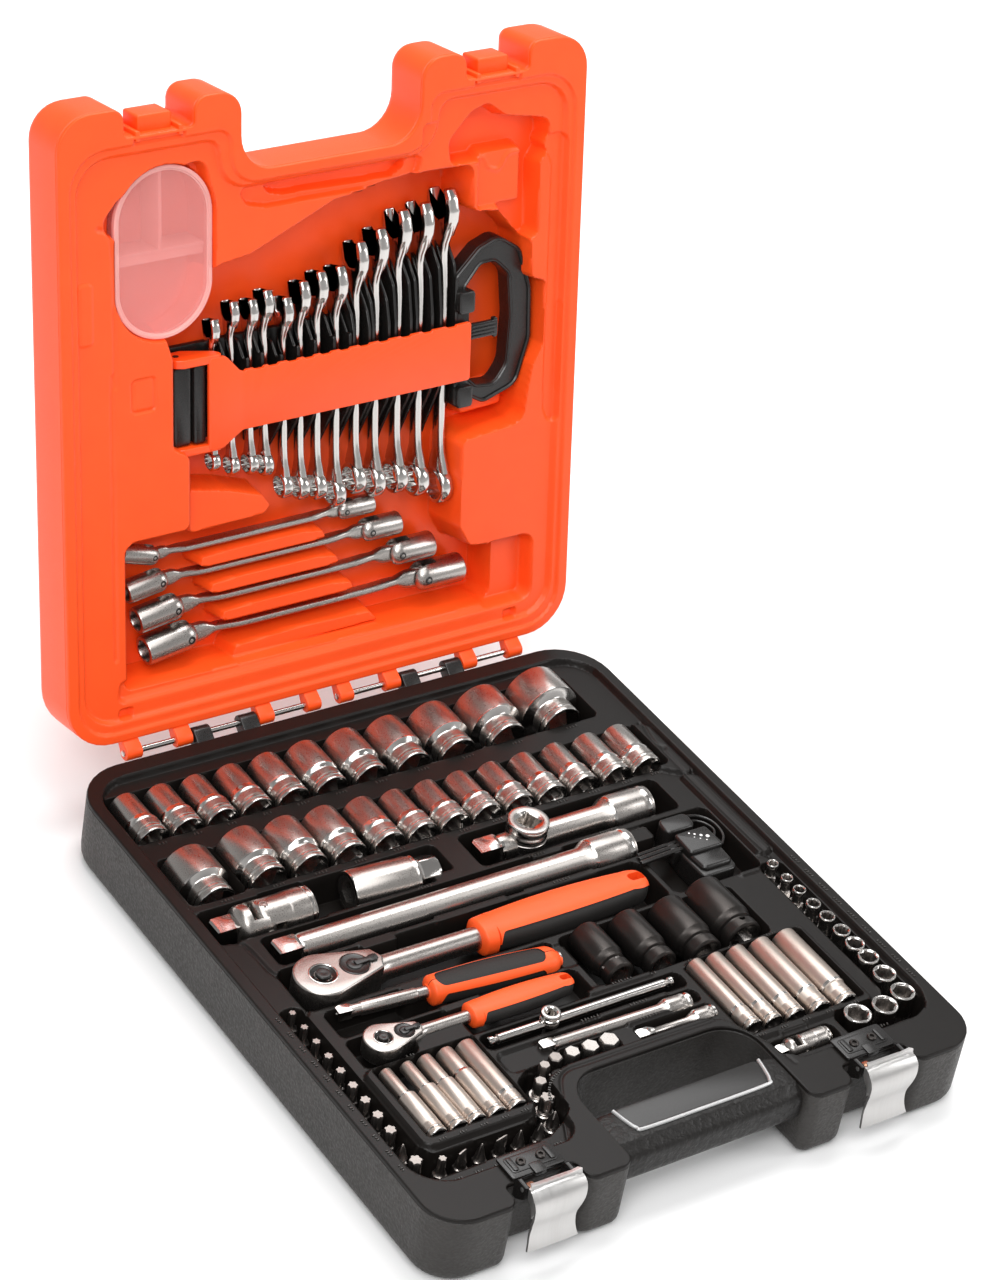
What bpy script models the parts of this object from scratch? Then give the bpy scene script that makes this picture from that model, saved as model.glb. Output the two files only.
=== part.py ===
"""Socket wrench set in a two-shell carrying case, lid open, tools stowed.

Frame: +X to the right of someone facing the handle, +Y from the handle to the hinge,
+Z up, origin on the table at the middle of the base. Lengths below are millimetres,
and every mesh is written in metres. Tools in the lid are drawn in the lid's own frame:
x as above, y from the hinge axis towards the lid's free edge, z out of its open side.
"""
import math

import bmesh
import bpy
from mathutils import Matrix, Vector

MM = 0.001
GAP = 0.3                       # air between neighbouring solids

# Case
CASE_W, CASE_D = 376.0, 408.0   # base rim, over the straight edges
BASE_H, LID_H = 48.0, 41.0
WALL, PLATE = 2.6, 2.5          # shell walls, tray and liner skin
EDGE = 9.0                      # rounding of both shells' outer edges
CUP = 1.6                       # wall of a moulded pocket
FRONT = 212.0                   # front lobes, ahead of the middle
LATCH_X, LATCH_GAP = 116.0, 46.0
NOTCH_HALF = 62.0               # handle bay, half its width
NOTCH_Y = -140.0                # handle bay's back wall
DECK = 4.0                      # tray deck below the rim
LID_HALF, LID_BACK, LID_FRONT = 181.5, 7.5, 400.5
LID_PANEL = 5.5                 # lid panel below its rim
LID_GAP = 0.5                   # lid rim above the base rim when shut
OPEN_DEG = 102.5
HINGE_Y, HINGE_Z = CASE_D / 2 + 7.0, BASE_H
KNUCKLE_R, PIN_R = 4.8, 2.0
TOOL_TOP = 4.5                  # highest point of a stowed tool, above the rim

# Half-inch and quarter-inch drives
HALF, QUARTER = 12.7, 6.35
ROW_DIAMETERS = (22, 22, 22, 23, 24.5, 26, 28, 30, 33, 37.5, 42)
ROW_X, ROW_Y, ROW_GAP, SOCKET_LENGTH = -175.5, 157.0, 1.7, 38.0
ROW_AXIS = BASE_H - 8.0         # height of the row's axes

PLASTIC_BLACK = ((0.035, 0.032, 0.030, 1), 0.55, 0.0)
PLASTIC_GRIP = ((0.030, 0.028, 0.027, 1), 0.75, 0.0)
ORANGE = ((1.0, 0.13, 0.02, 1), 0.42, 0.0)
CHROME = ((0.62, 0.60, 0.57, 1), 0.28, 1.0)
STEEL = ((0.70, 0.69, 0.67, 1), 0.25, 1.0)
BLACKENED = ((0.06, 0.055, 0.05, 1), 0.45, 0.9)
CLEAR = ((0.95, 0.75, 0.72, 1), 0.15, 0.0)

LID_FRAME = (Matrix.Translation((0, HINGE_Y, HINGE_Z))
             @ Matrix.Rotation(math.radians(180 - OPEN_DEG), 4, 'X'))


# ---------------------------------------------------------------- shapes (millimetres)
def box(x0, x1, y0, y1, z0, z1):
    return prism([(x0, y0), (x1, y0), (x1, y1), (x0, y1)], z0, z1)


def prism(points, z0, z1):
    """A plan outline, counter-clockwise, extruded from z0 to z1."""
    n = len(points)
    verts = [Vector((x, y, z)) for z in (z0, z1) for x, y in points]
    faces = [list(range(n))[::-1], list(range(n, 2 * n))]
    faces += [[i, (i + 1) % n, n + (i + 1) % n, n + i] for i in range(n)]
    return verts, faces


def across(yz, x0, x1):
    """A closed (y, z) outline extruded along X."""
    flat = prism(yz, x0, x1)
    upright = Matrix(((0, 0, 1, 0), (1, 0, 0, 0), (0, 1, 0, 0), (0, 0, 0, 1)))
    return [upright @ v for v in flat[0]], flat[1]


def lathe(profile, sides=16):
    """A profile of (z, radius) pairs turned about Z; its ends close on flat discs."""
    verts, faces = [], []
    for z, r in profile:
        verts += [Vector((r * math.cos(a), r * math.sin(a), z)) for a in turn(sides)]
    for k in range(len(profile) - 1):
        for i in range(sides):
            j = (i + 1) % sides
            faces.append([k * sides + i, k * sides + j, (k + 1) * sides + j, (k + 1) * sides + i])
    faces.append(list(range(sides))[::-1])
    faces.append([(len(profile) - 1) * sides + i for i in range(sides)])
    return verts, faces


def turn(sides):
    return [2 * math.pi * (i + 0.5) / sides for i in range(sides)]


def rod(z0, z1, r, sides=12):
    return lathe([(z0, r), (z1, r)], sides)


def regular(width, sides, z0, z1):
    """A prism of regular section, WIDTH across its flats."""
    r = width / 2 / math.cos(math.pi / sides)
    return prism([(r * math.cos(a), r * math.sin(a)) for a in turn(sides)], z0, z1)


def moved(shape, x=0, y=0, z=0, along='Z', spin=0):
    """A shape drawn about Z, laid along another axis and moved into place."""
    lay = {'Z': Matrix.Identity(4), 'X': Matrix.Rotation(math.pi / 2, 4, 'Y'),
           '-X': Matrix.Rotation(-math.pi / 2, 4, 'Y'), 'Y': Matrix.Rotation(-math.pi / 2, 4, 'X'),
           '-Y': Matrix.Rotation(math.pi / 2, 4, 'X')}[along]
    place = Matrix.Translation((x, y, z)) @ Matrix.Rotation(math.radians(spin), 4, 'Z') @ lay
    return [place @ v for v in shape[0]], shape[1]


def rounded(corners, inset=0.0, steps=4):
    """A square-cornered outline of (x, y, radius), counter-clockwise, inset and rounded."""
    n, points = len(corners), []
    for i, (x, y, radius) in enumerate(corners):
        before, after = Vector(corners[i - 1][:2]), Vector(corners[(i + 1) % n][:2])
        here = Vector((x, y))
        inward, outward = (here - before).normalized(), (after - here).normalized()
        convex = inward.cross(outward) > 0
        normal_in, normal_out = Vector((-inward.y, inward.x)), Vector((-outward.y, outward.x))
        here = here + inset * (normal_in + normal_out)
        r = max(radius - inset, 0.6) if convex else radius + inset
        side = 1 if convex else -1
        centre = here + side * r * (normal_in + normal_out)
        for k in range(steps + 1):
            a = math.pi / 2 * k / steps
            points.append(tuple(centre - side * r * (normal_in * math.cos(a) + normal_out * math.sin(a))))
    return points


def stadium(length, width, sides=12):
    """A plan outline along Y with round ends."""
    r, half = width / 2, (length - width) / 2
    ends = [math.pi * i / sides for i in range(sides + 1)]
    return ([(r * math.cos(a), half + r * math.sin(a)) for a in ends]
            + [(-r * math.cos(a), -half - r * math.sin(a)) for a in ends])


def grown(points, by):
    """A counter-clockwise outline with every edge moved out."""
    made = []
    for i, here in enumerate(points):
        before, after = Vector(points[i - 1]), Vector(points[(i + 1) % len(points)])
        here = Vector(here)
        a, b = (here - before).normalized(), (after - here).normalized()
        out = Vector((a.y + b.y, -a.x - b.x)) / (1 + a.dot(b))
        made.append(tuple(here + by * out))
    return made


def stack(rings):
    """A solid through outlines of equally many points, each (z, points)."""
    n = len(rings[0][1])
    verts = [Vector((x, y, z)) for z, points in rings for x, y in points]
    faces = [list(range(n))[::-1], [(len(rings) - 1) * n + i for i in range(n)]]
    for k in range(len(rings) - 1):
        low, high = k * n, (k + 1) * n
        faces += [[low + i, low + (i + 1) % n, high + (i + 1) % n, high + i] for i in range(n)]
    return verts, faces


def tub(outline, closed, open_end, edge):
    """A solid with vertical walls whose edge at the CLOSED end is rounded to radius EDGE."""
    away = math.copysign(1, open_end - closed)
    rings = []
    for degrees in (0, 45, 90):
        a = math.radians(degrees)
        rings.append((closed + away * edge * (1 - math.cos(a)), outline(edge * (1 - math.sin(a)))))
    rings.append((open_end, outline(0.0)))
    return stack(rings if away > 0 else rings[::-1])


# ---------------------------------------------------------------- objects
def material(name, look):
    made = bpy.data.materials.new(name)
    made.use_nodes = True
    shader = made.node_tree.nodes["Principled BSDF"]
    shader.inputs["Base Color"].default_value = look[0]
    shader.inputs["Roughness"].default_value = look[1]
    shader.inputs["Metallic"].default_value = look[2]
    made.diffuse_color = look[0]
    return made


def mesh_object(name, shapes, origin):
    """One object from shapes in its frame, in metres, with its origin at ORIGIN."""
    bm = bmesh.new()
    for verts, faces in shapes:
        made = [bm.verts.new((v - Vector(origin)) * MM) for v in verts]
        for face in faces:
            bm.faces.new([made[i] for i in face])
    bmesh.ops.recalc_face_normals(bm, faces=bm.faces)
    mesh = bpy.data.meshes.new(name)
    bm.to_mesh(mesh)
    bm.free()
    made = bpy.data.objects.new(name, mesh)
    bpy.context.collection.objects.link(made)
    return made


def piece(name, look, first, steps=(), origin=(0, 0, 0), frame=None):
    """A named node: its first shapes, then ('+' or '-', shapes) joined or cut in turn."""
    body = mesh_object(name, first, origin)
    body.data.materials.append(material(name, look))
    body.matrix_world = scaled(frame or Matrix.Identity(4)) @ Matrix.Translation(Vector(origin) * MM)
    for count, (sign, shapes) in enumerate(steps):
        tool = mesh_object(f"{name}_step{count}", shapes, origin)
        tool.parent = body
        tool.hide_render = True
        tool.display_type = 'WIRE'
        cut = body.modifiers.new(f"step{count}", 'BOOLEAN')
        cut.operation = 'UNION' if sign == '+' else 'DIFFERENCE'
        cut.solver = 'EXACT'
        cut.use_self = len(shapes) > 1
        cut.object = tool
    return body


def scaled(frame):
    """A frame in millimetres as one in metres."""
    made = frame.copy()
    made.translation = frame.translation * MM
    return made


def smooth(made, degrees=35):
    made.data.shade_smooth()
    made.data.set_sharp_from_angle(angle=math.radians(degrees))
    return made


# ---------------------------------------------------------------- case
def base_outline(inset=0.0):
    left, right = LATCH_X - LATCH_GAP / 2, LATCH_X + LATCH_GAP / 2
    half = [(CASE_W / 2, CASE_D / 2, 34), (CASE_W / 2, -FRONT, 34), (right, -FRONT, 7),
            (right, -FRONT + 15, 3), (left, -FRONT + 15, 3), (left, -FRONT, 12),
            (NOTCH_HALF, -FRONT, 8), (NOTCH_HALF, NOTCH_Y, 22)]
    mirrored = [(-x, y, r) for x, y, r in half]
    return rounded(mirrored + half[::-1], inset)


def lid_outline(inset=0.0):
    left, right = LATCH_X - LATCH_GAP / 2, LATCH_X + LATCH_GAP / 2
    notch = HINGE_Y - NOTCH_Y
    half = [(LID_HALF, LID_BACK, 30), (LID_HALF, LID_FRONT, 30), (right, LID_FRONT, 7),
            (right, LID_FRONT - 17, 3), (left, LID_FRONT - 17, 3), (left, LID_FRONT, 12),
            (NOTCH_HALF, LID_FRONT, 14), (NOTCH_HALF, notch, 22)]
    mirrored = [(-x, y, r) for x, y, r in half]
    return rounded(half + mirrored[::-1], inset)


LID_KNUCKLES = ((7, 17), (41, 52), (99, 110), (134, 145))
BASE_KNUCKLES = ((53, 65), (86, 98))


def mirrored_spans(spans):
    return [(-b, -a) for a, b in spans] + list(spans)


def base_shell():
    outer = tub(base_outline, 0, BASE_H - PLATE - GAP, EDGE)
    hollow = tub(lambda inset: base_outline(WALL + inset), WALL, BASE_H + 1, EDGE - WALL)
    spans = mirrored_spans(BASE_KNUCKLES)
    joins = [moved(rod(x0, x1, KNUCKLE_R, 12), y=HINGE_Y, z=HINGE_Z, along='X') for x0, x1 in spans]
    arms = [box(x0, x1, CASE_D / 2 - 1, HINGE_Y + 3, HINGE_Z - 12, HINGE_Z - 3) for x0, x1 in spans]
    bore = moved(rod(-150, 150, PIN_R + GAP, 10), y=HINGE_Y, z=HINGE_Z, along='X')
    return piece("base_shell", PLASTIC_BLACK, [outer],
                 [('-', [hollow]), ('+', arms), ('+', joins), ('-', [bore])])


TRAY_POCKETS = (                                     # x0, x1, y0, y1, depth below the rim
    (-178, 70, 135, 180, 26), (69, 156, 135, 180, 31),          # back row of sockets
    (-176, -138, 74, 118, 32), (-134, 168, 74, 118, 28),        # second row
    (-178, -14, 37.5, 68, 26), (3, 150, 37.5, 68, 26),          # joint, coupler, T-handle
    (-155, 103, 9, 34.5, 23), (-162, 94, -31.5, 6, 24),         # extension, ratchet
    (98, 164, -30, 33, 20), (6, 132, -82, -35, 28),             # key holder, impact sockets
    (-155, 1, -58, -35, 20), (-156, 1, -85, -60.5, 17),         # driver, small ratchet
    (-158, -88, -148, -87.5, 14), (67, 148, -156, -86, 16),     # deep sockets
    (-84, 56, -100.5, -87.5, 18), (-60, 56, -114.5, -103.5, 12),  # small T-bar, extension
    (2, 58, -128.5, -117.5, 12), (67, 113, -176, -160, 15),     # short extension, small joint
    (158, 176, -178, -26, 27), (118, 155, -178, -159, 27),      # standing small sockets
    (-176, -163, -171, -24, 22), (-160, -90, -171, -157, 22),   # bits
    (-88, -74, -171, -131.5, 22), (-71, -12, -128.5, -117, 22),
)
DRIVE_WELL = (-151, -131, -22.7, -2.7, 36)      # room for the turning square of the large ratchet


def base_tray():
    top = BASE_H
    corners = [(180, 192, 26), (-180, 192, 26), (-180, -182, 26), (-70, -182, 8), (-70, -131, 16),
               (70, -131, 16), (70, -182, 8), (180, -182, 26)]
    deck, deck_cup = rounded(corners), rounded(corners, -CUP)
    cups, cuts = [], []
    for x0, x1, y0, y1, depth in TRAY_POCKETS + (DRIVE_WELL,):
        cups.append(box(x0 - CUP, x1 + CUP, y0 - CUP, y1 + CUP, top - depth - CUP, top - DECK - 0.5))
    for x0, x1, y0, y1, depth in TRAY_POCKETS:
        cuts.append(box(x0, x1, y0, y1, top - depth, top + 2))
    x0, x1, y0, y1, depth = DRIVE_WELL
    well = box(x0, x1, y0, y1, top - depth, top - 10)
    return piece("base_tray", PLASTIC_BLACK, [prism(base_outline(), top - PLATE, top)],
                 [('+', [prism(deck_cup, top - DECK - CUP, top - 1)]), ('+', cups),
                  ('-', [prism(deck, top - DECK, top + 1)]), ('-', cuts), ('-', [well])])


def handle_grip():
    half = NOTCH_HALF - GAP
    bar = across([(-204, 44), (-200, 47.4), (-174, 47.4), (-171, 44), (-171, 22), (-176, 15),
                  (-190, 15), (-204, 25)][::-1], -half, half)
    return smooth(piece("handle_grip", PLASTIC_GRIP, [bar]))


def hinge_pin(side, name):
    ends = sorted((side * 6.0, side * 146.0))
    return smooth(piece(name, STEEL, [moved(rod(ends[0], ends[1], PIN_R, 10), y=HINGE_Y, z=HINGE_Z,
                                            along='X')]))


def lid_shell():
    outer = tub(lid_outline, -LID_H, -LID_GAP - PLATE - GAP, EDGE)
    hollow = tub(lambda inset: lid_outline(WALL + inset), -LID_H + WALL, 5, EDGE - WALL)
    spans = mirrored_spans(LID_KNUCKLES)
    arms = [box(x0, x1, 1, LID_BACK + 1, -10, -3.4) for x0, x1 in spans]
    collars = [moved(rod(x0, x1, KNUCKLE_R, 12), along='X') for x0, x1 in spans]
    bore = moved(rod(-150, 150, PIN_R + GAP, 10), along='X')
    catches = [box(s * LATCH_X - 8.5, s * LATCH_X + 8.5, LID_FRONT - 18, LID_FRONT - 8, -24, -7)
               for s in (-1, 1)]
    return piece("lid_shell", ORANGE, [outer],
                 [('-', [hollow]), ('+', arms), ('+', collars), ('+', catches), ('-', [bore])],
                 frame=LID_FRAME)


BAY = [(-134, 31), (156, 31), (156, 76), (124, 76), (124, 96), (160, 100), (160, 256), (118, 300),
       (118, 330), (60, 330), (-72, 285), (-100, 256), (-116, 250), (-116, 174), (-92, 162), (-92, 142),
       (-134, 142)]
BAY_DEPTH = 36.4
BOX_X, BOX_Y, BOX_L, BOX_W = -110.0, 309.0, 102.0, 62.0


def lid_liner():
    corners = [(172.5, 17, 22), (172.5, 376, 22), (69, 376, 6), (69, 344, 16), (-69, 344, 16),
               (-69, 376, 6), (-172.5, 376, 22), (-172.5, 17, 22)]
    panel, panel_cup = rounded(corners), rounded(corners, -CUP)
    bay_cup = grown(BAY, CUP)
    slot = [(BOX_X + x, BOX_Y + y) for x, y in stadium(BOX_L + 3, BOX_W + 3)]
    slot_cup = [(BOX_X + x, BOX_Y + y) for x, y in stadium(BOX_L + 6, BOX_W + 6)]
    corner = (92, 152, 338, 360)
    corner_cup = (92 - CUP, 152 + CUP, 338 - CUP, 360 + CUP)
    step = -LID_PANEL
    return piece(
        "lid_liner", ORANGE, [prism(lid_outline(), -LID_GAP - PLATE, -LID_GAP)],
        [('+', [prism(panel_cup, step - CUP, -LID_GAP - 1)]),
         ('+', [prism(bay_cup, -BAY_DEPTH - CUP, step - 0.5)]),
         ('+', [prism(slot_cup, -34 - CUP, step - 0.6), box(*corner_cup, -18 - CUP, step - 0.6)]),
         ('-', [prism(panel, step, 5)]), ('-', [prism(BAY, -BAY_DEPTH, 4)]),
         ('-', [prism(slot, -34, 4), box(*corner, -18, 4)])], frame=LID_FRAME)


# ---------------------------------------------------------------- latches
BRACKET_PIN = (-204.0, BASE_H + 1.0)     # y, z of the pin that carries the link
LEVER_PIN = (-211.0, BASE_H + 2.5)       # y, z of the pin between link and lever
LATCH_W = 36.0


def latch(side, x):
    half = LATCH_W / 2
    pin_y, pin_z = BRACKET_PIN
    lever_y, lever_z = LEVER_PIN
    top = BASE_H
    plate = box(x - half, x + half, -196.5, -178, top + GAP, top + 2.2)
    cheeks = [across([(-197, top - 9), (-197, top + 2), (-199, top + 4), (pin_y - 3, top + 4),
                      (pin_y - 3, top - 4), (-200, top - 9)][::-1], x + a, x + b)
              for a, b in ((-half + 1, -half + 4), (half - 4, half - 1))]
    bridge = box(x - half + 1, x + half - 1, -198.5, -196, top + GAP, top + 2)
    bore = moved(rod(x - half - 1, x + half + 1, 1.9, 10), y=pin_y, z=pin_z, along='X')
    screws = [moved(rod(top + 1.5, top + 3, 2.6, 10), x + s * 6, -187) for s in (-1, 1)]
    piece(f"latch_bracket_{side}", PLASTIC_BLACK, [plate],
          [('+', [bridge]), ('+', cheeks), ('+', screws), ('-', [bore])])

    inner = half - 5
    bars = [moved(rod(x - half + 0.6, x + half - 0.6, 1.5, 10), y=pin_y, z=pin_z, along='X'),
            moved(rod(x - inner - 3, x + inner + 3, 1.5, 10), y=lever_y, z=lever_z, along='X')]
    arms = [across([(pin_y + 2, pin_z - 1.8), (pin_y + 2, pin_z + 2), (lever_y - 1.2, lever_z + 2.2),
                    (lever_y - 2.2, lever_z - 1.8)][::-1], x + a, x + b)
            for a, b in ((-inner - 0.6, -inner + 1.4), (inner - 1.4, inner + 0.6))]
    smooth(piece(f"latch_link_{side}", STEEL, [bars[0]], [('+', arms), ('+', [bars[1]])],
                 origin=(x, pin_y, pin_z)))

    skin = [(-209.5, top + 7), (-214, top + 6.4), (-218.5, top + 2), (-219.5, top - 6),
            (-216.5, top - 16), (-216.5, top - 24), (-219.5, top - 32), (-217.8, top - 32.6),
            (-214.9, top - 24), (-214.9, top - 15.6), (-217.4, top - 6), (-216.6, top + 1),
            (-213.4, top + 4.8), (-209.5, top + 5.3)]
    cheek = [(-212, top + 6.3), (-217, top + 2.6), (-218.2, top - 5), (-215.4, top - 11),
             (-213.6, top - 6), (-208.6, top - 0.4), (-208.2, top + 5.9)]
    flaps = [across(cheek, x + a, x + b)
             for a, b in ((-inner - 3, -inner - 1.2), (inner + 1.2, inner + 3))]
    hole = moved(rod(x - half - 1, x + half + 1, 1.8, 10), y=lever_y, z=lever_z, along='X')
    smooth(piece(f"latch_lever_{side}", STEEL, [across(skin, x - half, x + half)],
                 [('+', flaps), ('-', [hole])], origin=(x, lever_y, lever_z)))


# ---------------------------------------------------------------- tools in the base
def stowed(radius):
    """The height of a lying tool's axis."""
    return BASE_H + TOOL_TOP - radius


def sockets():
    x = ROW_X
    for number, width in enumerate(ROW_DIAMETERS, 1):
        drive, r = min(11.0 + 0.18 * (width - 22), 14.5), width / 2
        mouth = max(r - 0.3 * (26 - width), 9.2) if width < 26 else r
        half = SOCKET_LENGTH / 2
        profile = [(-half, drive - 0.8), (-half + 1, max(drive, 11)), (-half + 12, max(drive, 11)),
                   (-half + 15, mouth), (half - 1, mouth), (half, mouth - 0.8)]
        across_flats = 1.36 * mouth
        cuts = [regular(across_flats, 6, -2, half + 1)]
        square = [regular(HALF + 0.2, 4, -half - 1, -1)]
        body = piece(f"socket_half_{number:02d}", CHROME,
                     [moved(lathe(profile, 14), x + r, ROW_Y, ROW_AXIS, 'Y')],
                     [('-', [moved(c, x + r, ROW_Y, ROW_AXIS, 'Y')]) for c in cuts + square],
                     origin=(x + r, ROW_Y, ROW_AXIS))
        smooth(body)
        x += width + ROW_GAP


def extension(name, x0, x1, y, size, shaft_r, end_r, end_length):
    z = stowed(end_r)
    male = moved(regular(size, 4, x0, x0 + size * 1.2), y=y, z=z, along='X')
    body = moved(lathe([(x0 + size * 1.1, shaft_r), (x1 - end_length - 4, shaft_r),
                        (x1 - end_length, end_r), (x1 - 0.8, end_r), (x1, end_r - 0.8)], 16),
                 y=y, z=z, along='X')
    mouth = moved(regular(size + 0.3, 4, x1 - size * 1.2, x1 + 1), y=y, z=z, along='X')
    return smooth(piece(name, CHROME, [body], [('+', [male]), ('-', [mouth])]))


def slider(name, x, y, z, size, bar_r, r, height):
    """A sliding square drive: a collar standing on the bar, with a square mouth on top."""
    body = moved(lathe([(-height / 2, r - 1), (-height / 2 + 1, r), (height / 2 - 1, r),
                        (height / 2, r - 1)], 18), x, y, z)
    bore = moved(rod(x - r - 2, x + r + 2, bar_r + GAP, 14), y=y, z=z, along='X')
    mouth = moved(regular(size, 4, height / 2 - 3, height / 2 + 1), x, y, z)
    smooth(piece(name, CHROME, [body], [('-', [bore]), ('-', [mouth])], origin=(x, y, z)))


T_HALF_X, T_HALF_Y = 44.0, 52.5
T_QUARTER_X, T_QUARTER_Y = -39.0, -94.0


def t_handles():
    extension("extension_125", 8, 134, T_HALF_Y, HALF, 8.0, 12.0, 30)
    slider("t_slider_half", T_HALF_X, T_HALF_Y, stowed(12.0), HALF, 8.0, 13.0, 32)
    z = stowed(8.0)
    bar = lathe([(-81, 2.2), (-80, 3), (-77.5, 3), (-76.5, 2.2), (-75, 3), (42, 3), (43.5, 2.2),
                 (44.5, 3), (47, 3), (48, 2.2)], 12)
    smooth(piece("t_bar_quarter", CHROME, [moved(bar, y=T_QUARTER_Y, z=z, along='X')]))
    slider("t_slider_quarter", T_QUARTER_X, T_QUARTER_Y, z, 5.0, 3.0, 6.0, 16)


def ratchet(name, x, y, head_r, thick, reach, shank, grip, size, buttons):
    """A flat-lying ratchet, head at (x, y), handle along +X.

    REACH is the selector's distance from the head's axis, SHANK its (radius, start, end)
    and GRIP its (start, end, width, height), all along X from the head.
    """
    top = BASE_H + TOOL_TOP - 1.5 * thick / 22
    low = top - thick
    drive_r = head_r * 0.56
    shank_r, shank0, shank1 = shank
    axis_z = top - thick * 0.46
    wedge = []
    for k in range(9):
        a = math.radians(100 + 20 * k)
        wedge.append((x + head_r * math.cos(a), y + head_r * math.sin(a)))
    nose, neck = reach + head_r * 0.42, shank_r * 0.9
    wedge += [(x + nose, y - head_r * 0.78), (x + shank0 + 3, y - neck), (x + shank0 + 3, y + neck),
              (x + nose, y + head_r * 0.78)]
    shaft = moved(lathe([(x + shank0 - 2, shank_r), (x + shank1, shank_r * 0.9)], 14), y=y, z=axis_z,
                  along='X')
    hole = moved(rod(low - 1, top + 1, drive_r + GAP, 20), x, y)
    seat = moved(rod(top - thick * 0.12, top + 1, head_r * 0.5 + GAP, 16), x + reach, y)
    stem_hole = moved(rod(top - thick * 0.5, top, head_r * 0.17 + GAP, 10), x + reach, y)
    smooth(piece(name, CHROME, [prism(wedge, low, top)],
                 [('+', [shaft]), ('-', [hole]), ('-', [seat]), ('-', [stem_hole])]))

    anvil = moved(rod(low + 0.2, top - 0.2, drive_r, 20), x, y)
    square = moved(regular(size, 4, low - size * 1.1, low + 1), x, y)
    cavity = [moved(rod(top - 5, top + 1, head_r * 0.28 + GAP, 12), x, y)] if buttons else []
    smooth(piece(f"{name}_anvil", CHROME, [anvil],
                 [('+', [square])] + ([('-', cavity)] if cavity else []), origin=(x, y, top)))
    if buttons:
        smooth(piece(f"{name}_button", BLACKENED, [moved(rod(top - 2.4, top + 1, head_r * 0.28, 12), x, y)],
                     origin=(x, y, top)))
    disc = moved(rod(top - thick * 0.12 + GAP, top + 0.6, head_r * 0.5, 16), x + reach, y)
    stem = moved(rod(top - thick * 0.4, top, head_r * 0.17, 10), x + reach, y)
    tip = box(x + reach, x + reach + head_r * 0.86, y - head_r * 0.14, y + head_r * 0.14, top + GAP, top + 1.4)
    smooth(piece(f"{name}_selector", BLACKENED, [disc], [('+', [stem]), ('+', [tip])],
                 origin=(x + reach, y, top)))

    grip0, grip1, width, height = grip
    outline = stadium(grip1 - grip0, width, 8)
    middle = x + (grip0 + grip1) / 2
    handle = prism([(middle + py, y - px) for px, py in outline], axis_z - height / 2,
                   axis_z + height / 2)
    bore = moved(rod(x + grip0 - 1, x + shank1 + 1, shank_r + GAP, 14), y=y, z=axis_z, along='X')
    hang = prism([(x + grip1 - 9 + px, y + py) for px, py in stadium(width * 0.5, width * 0.28, 6)],
                 axis_z - height, axis_z + height)
    smooth(piece(f"{name}_grip", ORANGE, [handle], [('-', [bore]), ('-', [hang])]))


def universal_joint(name, x0, y, size, r, length, top):
    """A joint lying along X: driving fork, middle block, driven fork with its socket."""
    z = BASE_H + top - r
    pivot = x0 + length * 0.50
    reach = r * 0.95
    slot = r * 0.62
    male = moved(regular(size, 4, x0, x0 + size * 1.1), y=y, z=z, along='X')
    fork = moved(lathe([(x0 + size, r - 1), (x0 + size + 1, r), (pivot + reach * 0.36, r)], 16), y=y, z=z,
                 along='X')
    throat = box(pivot - reach * 1.05, pivot + r, y - slot, y + slot, z - r - 1, z + r + 1)
    pin_y = moved(rod(y - r * 0.98, y + r * 0.98, r * 0.2, 10), x=pivot, z=z, along='Y')
    smooth(piece(f"{name}_male_fork", CHROME, [fork],
                 [('+', [male]), ('-', [throat]), ('-', [fat(pin_y, pivot, y, z)])]))

    side = slot - GAP
    block = box(pivot - side * 0.8, pivot + side * 0.8, y - side, y + side, z - side * 0.8, z + side * 0.8)
    bore = moved(rod(z - r, z + r, r * 0.2 + GAP, 10), pivot, y)
    smooth(piece(f"{name}_block", CHROME, [block], [('+', [pin_y]), ('-', [bore])], origin=(pivot, y, z)))

    inner = side * 0.8 + GAP
    far = x0 + length
    body = moved(lathe([(pivot - reach * 0.45, r * 0.86), (pivot + reach, r * 0.98), (far - 1, r * 0.98),
                        (far, r - 1.2)], 16), y=y, z=z, along='X')
    cheeks_only = [box(pivot - reach, pivot + reach * 0.95, y - r, y + r, z - inner, z + inner)]
    sides_off = [box(pivot - reach, pivot + reach * 0.7, y + a, y + b, z - r - 1, z + r + 1)
                 for a, b in ((-r - 1, -slot + 0.9), (slot - 0.9, r + 1))]
    pin_z = moved(rod(z - r * 0.8, z + r * 0.8, r * 0.2, 10), pivot, y)
    mouth = moved(regular(size + 0.3, 4, far - size * 1.1, far + 1), y=y, z=z, along='X')
    smooth(piece(f"{name}_female_fork", CHROME, [body],
                 [('-', cheeks_only), ('-', sides_off), ('+', [pin_z]), ('-', [mouth])],
                 origin=(pivot, y, z)))


def fat(pin, x, y, z):
    """A pin's clearance hole: the pin, a gap wider all round."""
    centre = Vector((x, y, z))
    radius = max(math.hypot(v.x - x, v.z - z) for v in pin[0])
    grow = (radius + GAP) / radius
    stretched = [Vector((x + (v.x - x) * grow, y + (v.y - y) * 1.2, z + (v.z - z) * grow)) for v in pin[0]]
    return stretched, pin[1]


# ---------------------------------------------------------------- tools in the lid
WRENCHES = 13
WRENCH_X0, WRENCH_X1 = -72.0, 93.0


def wrench_x(i):
    return WRENCH_X0 + (WRENCH_X1 - WRENCH_X0) * i / (WRENCHES - 1)


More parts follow.
